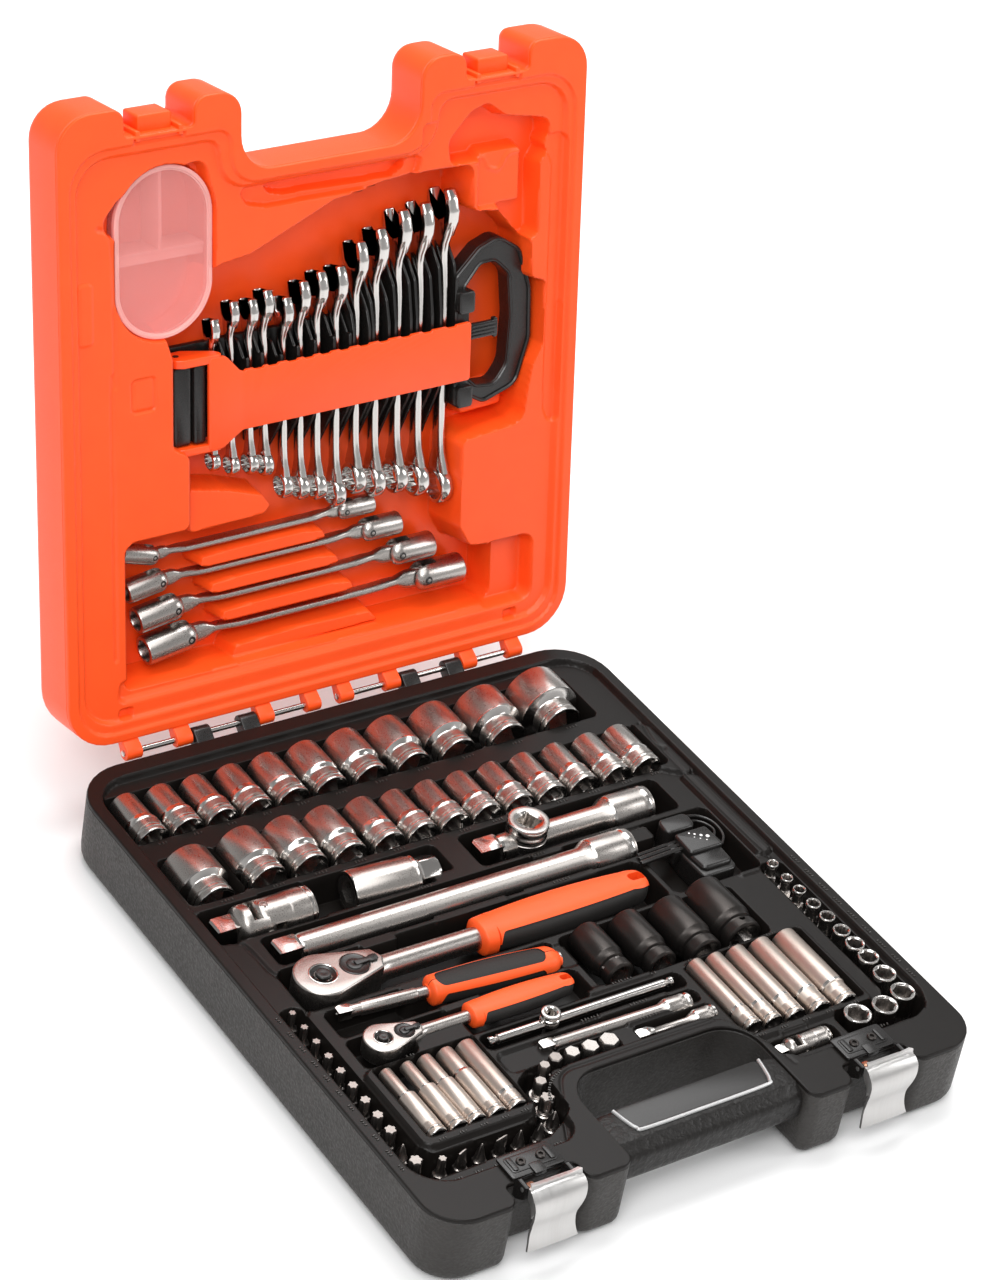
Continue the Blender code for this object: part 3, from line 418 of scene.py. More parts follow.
class Sheet:
    """A moulded skin: a fine grid of heights whose points slide onto the edges moulded in it."""

    pitch, seam = 1.0, 0.5

    def __init__(self, edge, top):
        low, high = edge.min(0) - 1.5 * self.pitch, edge.max(0) + 1.5 * self.pitch
        xs = np.arange(low[0], high[0] + self.pitch, self.pitch)
        ys = np.arange(low[1], high[1] + self.pitch, self.pitch)
        self.x, self.y = (a.copy() for a in np.meshgrid(xs, ys))
        self.z = np.full(self.x.shape, float(top))
        self.free = np.ones(self.x.shape, bool)
        d = self.onto(edge, (slice(None), slice(None)), (0.0,))
        self.keep = d <= 1e-6

    def window(self, points, margin):
        """The part of the grid near some points."""
        low, high = points.min(0) - margin, points.max(0) + margin
        xs, ys = self.x[0], self.y[:, 0]
        i = np.searchsorted(ys, (low[1] - self.pitch, high[1] + self.pitch))
        j = np.searchsorted(xs, (low[0] - self.pitch, high[0] + self.pitch))
        return slice(max(i[0] - 1, 0), i[1] + 1), slice(max(j[0] - 1, 0), j[1] + 1)

    def onto(self, points, w, offsets):
        """Slides free grid points within half a pitch of an outline, or of its insets, onto it."""
        x, y, free = self.x[w], self.y[w], self.free[w]
        d, nx, ny = distance_to(x, y, points)
        for offset in offsets:
            off = d + offset
            take = free & (np.abs(off) < 0.48 * self.pitch)
            size = np.maximum(np.abs(d), 1e-6)
            ux, uy = (x - nx) / size * np.sign(d), (y - ny) / size * np.sign(d)
            if offset == 0.0:
                x[take], y[take] = nx[take], ny[take]
            else:
                take &= np.abs(d) > 0.3
                x[take] = (x - ux * off)[take]
                y[take] = (y - uy * off)[take]
            free &= ~take
            d = np.where(take, -offset, d)
        return d

    def level(self, line, z, soft):
        """The skin inside LINE, an outline or its corners, goes to height z over a wall SOFT wide."""
        points = outline(line) if isinstance(line, list) else line
        w = self.window(points, 2.0)
        d = self.onto(points, w, (0.0, soft))
        t = np.clip(-d / soft, 0, 1)
        self.z[w] += (z - self.z[w]) * eased(t)

    def bead(self, points, height, half):
        """A raised or sunk line along points."""
        points = np.asarray(points, float)
        w = self.window(points, 3 * half)
        d = distance_to(self.x[w], self.y[w], points, closed=False)[0]
        self.z[w] += height * np.exp(-(d / half) ** 2)

    def trough(self, x, y0, y1, axis_z, r):
        """A half-round bed along y under a lying tool."""
        w = self.window(np.array([(x - r, y0), (x + r, y1)]), 1.0)
        gx, gy = self.x[w], self.y[w]
        inside = (np.abs(gx - x) < r) & (gy > y0) & (gy < y1)
        bed = axis_z - np.sqrt(np.maximum(r * r - (gx - x) ** 2, 0))
        self.z[w] = np.where(inside, np.minimum(self.z[w], bed), self.z[w])

    def pieces(self, name, body, finish, stands_for, lid=False):
        """The sheet as a left and a right piece, their shading shared across the seam."""
        rows, columns = self.x.shape
        index = np.arange(rows * columns).reshape(rows, columns)
        a, b, c, d = index[:-1, :-1], index[:-1, 1:], index[1:, 1:], index[1:, :-1]
        keep, z = self.keep.ravel(), self.z.ravel()
        quads = np.stack([a.ravel(), b.ravel(), c.ravel(), d.ravel()], 1)
        kept = keep[quads]
        whole = quads[kept.all(1)]
        flip = np.abs(z[whole[:, 0]] - z[whole[:, 2]]) > np.abs(z[whole[:, 1]] - z[whole[:, 3]])
        turned_quads = np.where(flip[:, None], np.roll(whole, -1, 1), whole)
        faces = [turned_quads[:, [0, 1, 2]], turned_quads[:, [0, 2, 3]]]
        part = kept.sum(1) == 3
        for k in range(4):
            missing = part & ~kept[:, k]
            faces.append(quads[missing][:, [(k + 1) % 4, (k + 2) % 4, (k + 3) % 4]])
        faces = np.concatenate(faces)
        points = np.stack([self.x.ravel(), self.y.ravel(), z], 1)
        p = points[faces]
        normal = np.cross(p[:, 1] - p[:, 0], p[:, 2] - p[:, 0])
        size = np.linalg.norm(normal, axis=1)
        faces, normal = faces[size > 1e-6], normal[size > 1e-6]
        normals = np.zeros_like(points)
        for k in range(3):
            np.add.at(normals, faces[:, k], normal)
        normals /= np.maximum(np.linalg.norm(normals, axis=1), 1e-9)[:, None]
        middle = points[faces].mean(1)[:, 0]
        turn = np.array(LID.to_3x3()) if lid else np.eye(3)
        shift = np.array(HINGE) * MM if lid else np.zeros(3)
        for number, half in ((1, middle < self.seam), (2, middle >= self.seam)):
            mine = faces[half]
            used, mine = np.unique(mine, return_inverse=True)
            mine = mine.reshape(-1, 3)
            mesh = bpy.data.meshes.new(f"{name}_{number}")
            spots = (points[used] * MM) @ turn.T + shift
            mesh.from_pydata(spots.tolist(), [], mine.tolist())
            mesh.materials.append(finish)
            mesh.polygons.foreach_set("use_smooth", np.ones(len(mine), bool))
            mesh.normals_split_custom_set_from_vertices((normals[used] @ turn.T).tolist())
            made = bpy.data.objects.new(f"{name}_{number}", mesh)
            bpy.context.scene.collection.objects.link(made)
            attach(made, body)
            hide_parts(stands_for)


# ---------------------------------------------------------------- the case
def both(corners):
    """Corners followed by their mirror images, so that a symmetric outline needs only half."""
    return corners + [(-x, y, r) for x, y, r in corners[::-1]]


SIDE, LID_SIDE = 188, 181.5        # half widths of base and lid
BAY, NOTCH = 62, (93, 139)         # the handle's bay, and the notches with the latches
LATCH = 116.0                      # x of the latches
FRONT, BACK, NEAR, FAR = -212, 204, 7.5, 400.5
BASE_CORNERS = both([(SIDE, FRONT, 34), (SIDE, BACK, 34)]) + both([(-NOTCH[1], FRONT, 7),
    (-NOTCH[1], FRONT + 15, 3), (-NOTCH[0], FRONT + 15, 3), (-NOTCH[0], FRONT, 12), (-BAY, FRONT, 8),
    (-BAY, -140, 22)])
LID_CORNERS = both([(-LID_SIDE, NEAR, 30)]) + both([(LID_SIDE, FAR, 30), (NOTCH[1], FAR, 7),
    (NOTCH[1], FAR - 17, 3), (NOTCH[0], FAR - 17, 3), (NOTCH[0], FAR, 12), (BAY, FAR, 14),
    (BAY, 351, 22)])


def skirt(corners, levels, bottom=False):
    """A band round an outline through (height, inset) levels."""
    return lofted([at_height(outline(corners, inset, 8), z) for z, inset in levels], caps=(bottom, False))


def tub(corners, low, high, joint):
    """A shell's outside: flat bottom, rounded edge, straight wall and the lip at its joint."""
    edge = 9.0
    levels = [(low + edge * (1 - math.cos(a)), edge * (1 - math.sin(a)))
        for a in np.linspace(0, math.pi / 2, 7)]
    levels += [(high - 9, 0.0), (high - 8.4, 0.0), (high - 0.4, 0.0), (high, 0.4), (high, joint)]
    return skirt(corners, levels, bottom=True)


def knuckle(x0, x1, lid_side):
    """A hinge barrel and the web that carries it, round the hinge axis at the origin."""
    if lid_side:
        web, start, end, steps = [(9.0, -3.2), (9.0, -9.5)], -100, -320, 16
    else:
        web, start, end, steps = [(-8.0, -12.0), (-8.0, 0.0)], 120, -60, 14
    barrel = 4.8
    arc = np.linspace(math.radians(start), math.radians(end), steps)
    line = web + [(barrel * math.cos(a), barrel * math.sin(a)) for a in arc]
    return across(line[::-1], x0, x1, 0.7)


def knuckles(spans, lid_side):
    """Barrels at the same distances either side of the middle."""
    return [knuckle(a if s > 0 else -b, b if s > 0 else -a, lid_side) for s in (-1, 1) for a, b in spans]


def base_case():
    """The base: its shell, skids, rim, hinge barrels and hinge pins."""
    piece("base_outside", "root", [tub(BASE_CORNERS, 0.0, 45.3, 4.0)], SHELL,
        "base_shell")
    ribs = [bar(x0, x1, -150, 150, 0.05, 0.9, 0.3, 4) for x0, x1 in ((-150, -142), (142, 150))]
    piece("base_skids", "root", ribs, SHELL)
    rim = [(45.5, 3.0), (45.5, 0.35), (45.9, 0.0), (47.0, 0.0), (47.6, 0.3), (47.92, 0.85), (47.985, 1.5)]
    piece("tray_rim_edge", "root", [skirt(BASE_CORNERS, rim)], TRAY)
    barrels = [moved(k, 0, HINGE[1], HINGE[2]) for k in knuckles(((53, 65), (86, 98)), False)]
    piece("base_hinge_barrels", "root", barrels, BLACK)
    for s, name in ((-1, "left"), (1, "right")):
        pin = [(s * 6.0, 1.4), (s * 6.4, 2.0), (s * 134.0, 2.0)] + [(s * (134.5 + 0.9 * k),
            2.0 + (0.22 if k % 2 else -0.05)) for k in range(9)] + [(s * 145.6, 2.0), (s * 146, 1.5)]
        pin = pin if s > 0 else pin[::-1]
        piece(f"hinge_rod_{name}", "root", [moved(turned(pin, n=20), 0, HINGE[1], HINGE[2], along='X')],
            BRIGHT, f"hinge_pin_{name}")


def lid_case():
    """The lid: its shell, rim, hinge barrels and catches."""
    piece("lid_outside", "lid", [tub(LID_CORNERS, -41.0, -3.2, 4.0)], ORANGE, "lid_shell",
        lid=True)
    rim = [(-3.0, 3.0), (-3.0, 0.35), (-2.6, 0.0), (-1.5, 0.0), (-0.9, 0.3), (-0.58, 0.85), (-0.515, 1.5)]
    piece("liner_rim_edge", "lid", [skirt(LID_CORNERS, rim)], ORANGE, lid=True)
    barrels = knuckles(((7, 17), (41, 52), (99, 110), (134, 145)), True)
    piece("lid_hinge_barrels", "lid", barrels, ORANGE, lid=True)
    for x, name in ((-LATCH, "left"), (LATCH, "right")):
        catch = [slab(outline([(x - 11, 382.4, 1), (x + 11, 382.4, 1), (x + 11, 393, 1.5),
            (x - 11, 393, 1.5)], steps=3), -24, -7, 0.8), bar(x - 15.5, x - 12.5, 380, 386, -20, -0.9,
            0.5), bar(x + 12.5, x + 15.5, 380, 386, -20, -0.9, 0.5)]
        piece(f"lid_catch_{name}", "lid", catch, ORANGE, lid=True)


def box_line(x0, x1, y0, y1, r):
    """The outline of a block with rounded corners."""
    return outline([(x0, y0, r), (x1, y0, r), (x1, y1, r), (x0, y1, r)], steps=5)


def pill(radius, n):
    """The parts box's long round outline, in the lid."""
    return np.array([(-110 + radius * math.cos(a), 309 + math.copysign(20,
        math.sin(a)) + radius * math.sin(a)) for a in np.linspace(0, 2 * math.pi, n, endpoint=False)])


def tray_sheet():
    """The moulded tray: its deck, wells, beds, platforms and rim."""
    sheet = Sheet(outline(BASE_CORNERS, 0.8, 8), RIM)
    deck = [(180, -182, 24), (180, 192, 24), (-180, 192, 24), (-180, -182, 24), (-76, -182, 14),
        (-76, -137, 16), (-52, -131, 14), (52, -131, 20), (74, -182, 12)]
    sheet.level(deck, 44.0, 1.6)
    # rim strips that reach inwards on the right and left
    sheet.level([(158, 72, 4), (178.6, 56, 5), (178.6, 112, 6), (158, 122, 5)], 47.2, 1.5)
    sheet.level([(166, -22, 4), (178.6, -22, 4), (178.6, 58, 4), (166, 66, 4)], 46.6, 1.5)
    sheet.bead(smoothed([(176, 118), (171, 96), (174, 88), (171, 80), (171.5, -16), (176, -20)]), -0.9,
        0.9)
    sheet.bead(smoothed([(-180, 70), (-176, 62), (-172, 40), (-165, 34), (-163, 8), (-158, -6),
        (-159, -26), (-166, -34), (-178, -38)]), -1.2, 1.0)
    # wells
    for x0, x1, y0, y1, floor, r in ((-178, 70, 135, 180, 24, 4), (69, 156, 135, 180, 18, 4),
            (-176, -138, 74, 118, 18, 4), (-134, 168, 74, 118, 22, 4), (-178, -14, 37.5, 68, 24, 4),
            (3, 150, 37.5, 68, 24, 4), (-155, 103, 9, 34.5, 26, 4), (-162, 94, -31.5, 6, 25, 6),
            (98, 164, -30, 33, 29, 5), (6, 132, -82, -35, 21, 5), (-155, 1, -58, -35, 29, 4),
            (-156, 1, -85, -60.5, 32, 4), (-84, 56, -100.5, -87.5, 31, 4),
            (-60, 56, -114.5, -103.5, 36, 4)):
        sheet.level(box_line(x0, x1, y0, y1, r), floor, 1.8)
    sheet.level(box_line(-151, -131, -22.7, -2.7, 3), 14, 1.6)
    # room for the large joint to swing
    sheet.level(box_line(-136, -105, 36.5, 69.2, 3), 24, 1.2)
    # the beds between neighbouring sockets
    for x, r in row_places():
        sheet.trough(x, 136.8, 178.2, 40.0, r + 0.9)
    for x, r in second_row_places():
        sheet.trough(x, 75.8, 116.2, second_row_axis(r), r + 0.9)
    # platforms with the deep sockets
    sheet.level([(-162.5, -155, 9), (-85.5, -155, 8), (-85.5, -66, 4), (-120, -66, 4), (-124, -86, 4),
        (-162.5, -86, 8)], 47.2, 2.0)
    sheet.level(box_line(-156, -88, -147.5, -88, 3), 34, 1.8)
    sheet.level([(62, -158, 5), (150, -158, 5), (150, -84, 5), (62, -84, 5)], 46.6, 1.6)
    sheet.level(box_line(67, 146.5, -152.5, -86.5, 3), 32, 1.8)
    for x, r in ((-148, 5.0), (-134, 5.2), (-122, 5.4), (-108.5, 5.9), (-95, 6.3)):
        sheet.trough(x, -147, -88.6, 50 - r, r + 0.7)
    for x, r in ((68, 5.6), (82, 6.2), (98, 7.0), (116, 7.8), (134.5, 8.6)):
        sheet.trough(x, -152, -87, 51 - r, r + 0.7)
    # channels with the bits and standing sockets
    bits = outline([(-178, -170, 12), (-166, -174, 6), (-92, -172, 8), (-71, -162, 8), (-69, -136, 6),
        (-60, -128, 5), (-10, -130, 5), (-10, -116.5, 5), (-64, -115.5, 8), (-84, -128, 6),
        (-87, -154, 6), (-100, -157.5, 5), (-158, -157, 5), (-163.5, -148, 4), (-163.5, -24, 5),
        (-178, -24, 5)])
    sheet.level(bits, 27, 2.0)
    sockets = outline([(118, -178, 6), (172, -178, 12), (176.5, -170, 10), (176.5, -28, 6), (160, -28, 5),
        (160, -152, 5), (154, -157, 5), (118, -156, 6)])
    sheet.level(sockets, 22, 2.0)
    sheet.level(box_line(2, 58, -129, -117.5, 4), 35, 1.6)
    sheet.level([(67, -176, 5), (113, -176, 5), (113, -161, 4), (67, -161, 4)], 33, 1.6)
    # rounded pads beside the tools
    pads = [(-106, -78, 0, 12, 44.5), (-52, 2, 3, 13, 44.5), (12, 66, 4, 13, 44.0),
        (-104, -76, -46, -30, 44.5), (-88, -78, -54, -44, 41), (-92, -62, -66, -56, 45),
        (-60, -48, -67, -58, 42), (-84, -46, -122, -103, 42), (-6, 42, -86, -79, 45),
        (-10, 40, -105, -98.5, 45), (0, 34, -117.5, -111.5, 45.5), (78, 100, -160, -153, 46.5),
        (-32, -8, 34, 46, 44), (100, 120, 17, 33, 44.5), (36, 60, 30, 40, 43.5), (-6, 10, -60, -38, 43),
        (132, 160, -60, -34, 44), (144, 162, -34, -28, 45)]
    for x0, x1, y0, y1, top in pads:
        sheet.level(box_line(x0, x1, y0, y1, min((y1 - y0), (x1 - x0)) * 0.32), top, 2.2)
    # a line round the rim inside the handle bay
    sheet.bead(smoothed([(-84, -178), (-69, -150), (-58, -136), (-36, -134.6), (36, -134.6), (56, -137),
        (66, -160), (70, -184)]), -0.7, 0.8)
    sheet.pieces("tray_skin", "root", TRAY, "base_tray")


def liner_sheet():
    """The lid's liner: rim, panel, bays, steps and small moulded plates."""
    sheet = Sheet(outline(LID_CORNERS, 0.8, 8), -0.5)
    inner = both([(-174.5, 13, 24)]) + both([(174.5, 379, 24), (68, 379, 10), (68, 345, 22)])
    sheet.level(inner, -2.2, 1.4)
    # relief over the deep socket beside the handle
    sheet.level([(62.6, 341, 3), (78, 341, 3), (78, 361, 3), (62.6, 361, 3)], -3.4, 1.0)
    panel = both([(-170, 19, 22)]) + both([(170, 374, 22), (76, 374, 10), (72, 343, 22)])
    sheet.level(panel, -5.2, 2.4)
    # shallow steps round the bays
    sheet.level([(-146, 29, 6), (148, 29, 6), (147, 42, 5), (-145, 46, 5)], -9.0, 4.0)
    sheet.level([(-63, 341, 8), (-57, 329, 8), (-43, 325.5, 10), (58, 324.5, 10), (64, 331, 6),
        (67, 341, 8)], -9.0, 2.0)
    sheet.level([(-45, 340, 5), (-40, 333, 6), (-30, 330.5, 8), (46, 329, 8), (54, 334, 5), (57, 340, 5)],
        -14.5, 2.0)
    sheet.bead(smoothed([(-154, 331), (-146, 325), (-144, 300), (-144, 236), (-146, 228), (-146, 60)]),
        -1.3, 1.3)
    # room for the largest socket when shut
    sheet.level([(120, 30, 4), (157, 30, 8), (157, 77, 8), (120, 77, 4)], -15.5, 4.0)
    # the bay of the wrenches, reaching down to the flexible wrenches
    bay = [(-139.5, 36, 7), (131, 33, 7), (131, 75, 6), (108, 78, 6), (100, 92, 6), (100.5, 150, 6),
        (146, 154, 9), (149, 176, 5), (152, 190, 4), (159, 203, 5), (159.5, 245, 4), (149, 249, 4),
        (147.5, 275, 14), (128, 296, 8), (104, 299, 5), (103, 329, 6), (68, 330, 8), (4, 323, 14),
        (-54, 299, 12), (-77, 296, 8), (-96, 262, 8), (-111, 259, 4), (-106, 243, 5), (-106, 187, 5),
        (-95, 180, 6), (-95, 134, 5), (-139.5, 134, 8)]
    sheet.level(bay, -35.8, 3.2)
    # the parts box's seat
    sheet.level([(-152, 334, 8), (-142, 346, 8), (-118, 358, 8), (-84, 362, 8), (-78, 340, 8),
        (-79, 330, 6), (-146, 322, 6)], -14.0, 2.5)
    sheet.level(pill(33.5, 40), -34.2, 2.0)
    # the corner recess and its block
    sheet.level([(84, 346, 8), (100, 362, 7), (112, 366, 7), (126, 356, 6), (158, 350, 8), (159, 330, 6),
        (152, 322, 5), (153, 262, 10), (130, 290, 8), (122, 296, 6), (118, 330, 6), (86, 330, 6)], -19.0,
        2.5)
    sheet.level([(106, 298, 4), (141, 298, 4), (141, 336, 5), (106, 336, 5)], -9.0, 2.5)
    sheet.bead(smoothed([(104, 330), (112, 331), (116, 324), (124, 322), (130, 330), (139, 331)]), 1.0,
        1.2)
    # raised labels between the flexible wrenches, and low blocks
    for left, right, y in FLEX_LABELS:
        label = [(left, y - 4.6, 4), (left + 9, y - 6, 2), (right - 12, y - 6, 2), (right, y - 4.8, 3),
            (right - 4, y + 3.4, 3), (right - 18, y + 5.6, 2), (left + 26, y + 5.6, 2),
            (left + 3, y + 4.4, 4)]
        sheet.level(label, -17.0, 2.0)
    sheet.level([(-62, 34.5, 3), (52, 34.5, 3), (42, 46.5, 5), (-10, 47.6, 2), (-58, 45.5, 4)], -17, 2.4)
    sheet.level([(-93, 124.5, 6), (-37, 126, 5), (-31, 133, 4), (-38, 143, 5), (-62, 151, 6),
        (-93, 158, 5)], -14.0, 2.5)
    sheet.level([(104, 158, 6), (143, 160, 6), (141, 178, 6), (108, 176, 6)], -22.0, 3.0)
    for x in (-140, 140):
        sheet.level(box_line(x - 5, x + 5, 20, 27, 2), -8.0, 1.2)
    # small moulded plates at the sides
    sheet.level(box_line(-134, -117, 214, 236, 3), -6.4, 1.0)
    sheet.level(box_line(-132.6, -118.4, 215.4, 234.6, 2.4), -5.6, 0.8)
    sheet.level(box_line(-168, -158, 262, 300, 3), -4.4, 1.0)
    sheet.level(box_line(160, 171, 168, 232, 4), -7.2, 1.6)
    sheet.level([(150, 340, 6), (171, 340, 6), (171, 150, 6), (164, 150, 6), (160, 160, 6),
        (160, 320, 6)], -6.6, 1.5)
    # notches for the catches
    for x in (-LATCH, LATCH):
        sheet.level(box_line(x - 17, x + 17, 377.5, 384.5, 1.5), -3.6, 1.2)
    sheet.pieces("liner_skin", "lid", ORANGE, "lid_liner", lid=True)


FLEX_LABELS = ((-84, 11, 105), (-77, 21, 86), (-69, 32, 65.8))


def grip():
    """The carrying grip: a grained bar with a smooth panel edged in silver."""
    section = [(-170.5, 30, 6), (-170.5, 47.2, 5), (-196, 47.2, 4), (-204.6, 42, 7), (-204.6, 26, 8),
        (-190, 14.5, 6), (-176, 14.5, 6)]
    line = outline(section, steps=5)
    stations = [(-61.6, 0.6), (-58, 0.0), (-40, 0.0), (0, 0.0), (40, 0.0), (58, 0.0), (61.6, 0.6)]
    rings = [at_height(drawn_in(line, tight), x)[:, [2, 0, 1]] for x, tight in stations]
    piece("grip_bar", "root", [lofted(rings)], LEATHER, "handle_grip")
    panel = outline([(-46, -190.5, 6), (47, -190.5, 6), (51, -172.5, 3), (-50, -172.5, 3)], steps=5)
    piece("grip_panel", "root", [slab(panel, 46.6, 47.62, 0.35)], BLACK)
    trim = at_height([(-50.5, -172.8), (-48.6, -182), (-46, -189.2), (-41, -191.6), (0, -191.9),
        (42, -191.6), (47.2, -189.2), (49.6, -182), (51.4, -172.8)], 47.5)
    piece("grip_trim", "root", [swept(smoothed(trim), 1.15, 10)], TRIM)


def latch(side, x):
    """One draw latch: bracket, wire link with its spring, and the waisted lever."""
    bracket = [bar(x - 17.5, x + 17.5, -196.3, -178.2, 48.25, 50.1, 0.4, 2.0),
        bar(x - 15, x + 15, -193, -181, 50.0, 50.5, 0.3, 2.0)]
    for s in (-1, 1):
        bracket.append(across([(-197, 39.5), (-197, 49.6), (-199, 51.8), (-206.6, 51.8), (-206.8, 44),
            (-200, 39.5)][::-1], x + s * 15.5 - 1.3, x + s * 15.5 + 1.3, 0.3))
        bracket.append(bar(x + s * 12 - 1.6, x + s * 12 + 1.6, -192, -182, 50.3, 51.2, 0.3, 1.0))
    bracket.append(bar(x - 4, x + 4, -198.3, -190, 48.4, 51.0, 0.4, 1.2))
    piece(f"latch_bracket_body_{side}", "root", bracket, BLACK, f"latch_bracket_{side}")
    head = [(50.2, 2.9), (51.3, 2.9), (51.7, 2.4), (51.7, regular(2.6, 6, PLAIN)),
        (50.7, regular(2.4, 6, PLAIN))]
    screws = [moved(turned(head, n=PLAIN), x + s, -187) for s in (-6.5, 6.5)]
    piece(f"latch_screws_{side}", "root", screws, DARK_STEEL)
    bend = ((17, -204, 49), (15, -204, 49), (13.4, -205.4, 49.6), (13.2, -208, 50.4),
        (13.4, -210.2, 50.9), (15.6, -211, 50.5))
    wires = [swept(smoothed([(x + s * dx, y, z) for dx, y, z in bend], 4), 1.2, 8) for s in (-1, 1)]
    wires += [moved(turned([(x - half, 1.4), (x + half, 1.4)], n=12), 0, y, z, along='X')
        for half, y, z in ((15.6, -211, 50.5), (17, -204, 49))]
    piece(f"latch_wire_{side}", f"latch_link_{side}", wires, BRUSHED, f"latch_link_{side}")
    turns = np.linspace(0, 2 * math.pi * 5, 90)
    coil = np.column_stack([x - 14.2 + turns / turns[-1] * 5.0, -204 + 2.4 * np.cos(turns),
        49 + 2.4 * np.sin(turns)])
    piece(f"latch_spring_{side}", f"latch_link_{side}", [swept(coil, 0.42, 6)], COPPER)

    # the lever's skin follows one curve; its width changes along it
    curve = smoothed([(-208.8, 54.6), (-211.5, 55.2), (-214.4, 54.2), (-217.8, 50.6), (-219.3, 45),
        (-218.6, 38), (-216.9, 31), (-216.7, 24.5), (-218.0, 19), (-219.3, 15.6)], 5)
    half = np.interp(np.linspace(0, 1, len(curve)), [0, 0.12, 0.3, 0.5, 0.68, 0.84, 1.0],
        [15.5, 17.2, 17.6, 16.4, 14.6, 15.4, 16.8])
    way = np.gradient(curve, axis=0)
    way /= np.linalg.norm(way, axis=1)[:, None]
    normal = np.stack([way[:, 1], -way[:, 0]], 1)
    normal *= np.where(normal[:, :1] > 0, -1, 1)
    across_plate = np.concatenate([np.linspace(-1, 1, 17), np.linspace(1, -1, 17)])
    crown, thickness = 0.9, np.repeat([0.0, 1.5], 17)
    depth = crown * (1 - np.abs(across_plate) ** 2.5) - crown - thickness
    rings = [np.column_stack([x + across_plate * w, y + ny * depth, z + nz * depth])
        for (y, z), w, (ny, nz) in zip(curve, half, normal)]
    cheek = [(-210, 53.6), (-214.6, 53), (-217.6, 49.5), (-217.9, 44), (-215, 37), (-213.4, 42),
        (-208.8, 47.6), (-208.2, 53.2)]
    cheeks = [across(cheek, x + s * 15.2 - 0.9, x + s * 15.2 + 0.9, 0.25) for s in (-1, 1)]
    piece(f"latch_plate_{side}", f"latch_lever_{side}", [lofted(rings), *cheeks], BRUSHED,
        f"latch_lever_{side}", sharp=50)


ROW_DIAMETERS = (22, 22, 22, 23, 24.5, 26, 28, 30, 33, 37.5, 42)
SECOND_ROW = ((-156, 34), (-121, 30), (-92, 27.5), (-64.5, 26), (-37, 24), (-13, 22), (10.5, 22),
    (34, 22), (58, 22), (82, 22), (106, 22.5), (131, 23), (154, 23))


def row_places():
    """(x, radius) of the first row's sockets, from the left and a small gap apart."""
    x, places = -175.5, []
    for width in ROW_DIAMETERS:
        places.append((x + width / 2, width / 2))
        x += width + 1.7
    return places


def second_row_places():
    """(x, radius) of the second row's sockets."""
    return [(x, width / 2) for x, width in SECOND_ROW]


def second_row_axis(r):
    """How high a socket of the second row lies; the largest lies deeper."""
    return 35.9 if r > 16 else 41.0


# ---------------------------------------------------------------- sockets
STEEL = [SATIN, BRIGHT, BORE]


def half_socket(width):
    """A half-inch socket about Z, its square drive at the bottom."""
    length = 38.0
    drive = max(min(11 + 0.18 * (width - 22), 14.5), 11.0)
    mouth = width / 2 if width >= 26 else max(width / 2 - 0.3 * (26 - width), 9.2)
    hexagon, square = regular(1.36 * mouth, 6, FINE, 15), regular(12.9, 4, FINE, 20)
    rim = drive - 1.2
    profile = [(0.35, rim + 0.2, 1), (0.0, rim + 0.6, 1), (0.25, drive - 0.2, 1), (0.9, drive, 0),
        (2.2, drive, 0), (2.6, drive - 0.6, 0), (3.5, drive - 0.6, 0), (3.9, drive - 0.05, 1),
        (5.0, drive, 1), (5.5, drive - 0.45, 0), (6.2, drive - 0.45, 0), (6.3, knurled(drive - 0.1), 0),
        (10.9, knurled(drive - 0.1), 0), (11.0, drive - 0.4, 0), (12.0, drive - 0.4, 1)]
    if mouth - drive > 0.3:
        profile += [(12.6, drive + 0.1, 1), (14.4, mouth - 0.15, 1), (15.4, mouth, 0)]
    else:
        profile += [(12.5, drive, 1), (14.4, drive, 1), (16.4, mouth + 0.1, 1), (17.4, mouth, 0)]
    profile += [(length - 1.0, mouth, 0), (length - 0.25, mouth - 0.35, 1), (length, mouth - 0.9, 1),
        (length, 0.92 * mouth - 0.6, 2), (length - 1.6, hexagon, 2), (length - 17, hexagon, 2),
        (length - 17.4, square, 2), (4.6, square, 1), (1.0, rim - 0.2, 1), (0.7, rim, 1)]
    return turned(profile, closed=True, n=FINE)


def small_socket(width, length, waist, base):
    """A quarter-inch socket about Z with its hexagon mouth at the top; WAIST and BASE are radii."""
    r, flats = width / 2, 0.68 * width
    low = 0.42 * length
    profile = [(0.0, 3.6, 2), (0.0, base - 0.8, 1), (0.5, base - 0.2, 0), (1.6, base - 0.1, 0),
        (1.9, base - 0.5, 0), (2.5, base - 0.5, 0), (2.8, base - 0.1, 0), (low - 1.5, base, 0),
        (low, base - 0.2, 1)]
    if base > waist + 0.4:
        profile += [(low + 1.4, waist + 0.3, 1), (low + 2.2, waist, 0), (length - 3.4, waist, 0),
            (length - 2.4, r - 0.1, 0)]
    profile += [(length - 1.2, r, 1), (length - 0.35, r - 0.1, 1), (length, r - 0.45, 1),
        (length, flats / 2 * 1.17 + 0.15, 1), (length - 0.7, regular(flats, 6), 2),
        (length - 9, regular(flats, 6), 2), (length - 9.2, regular(6.5, 4), 2), (0.6, regular(6.5, 4), 2)]
    return turned(profile, closed=True)


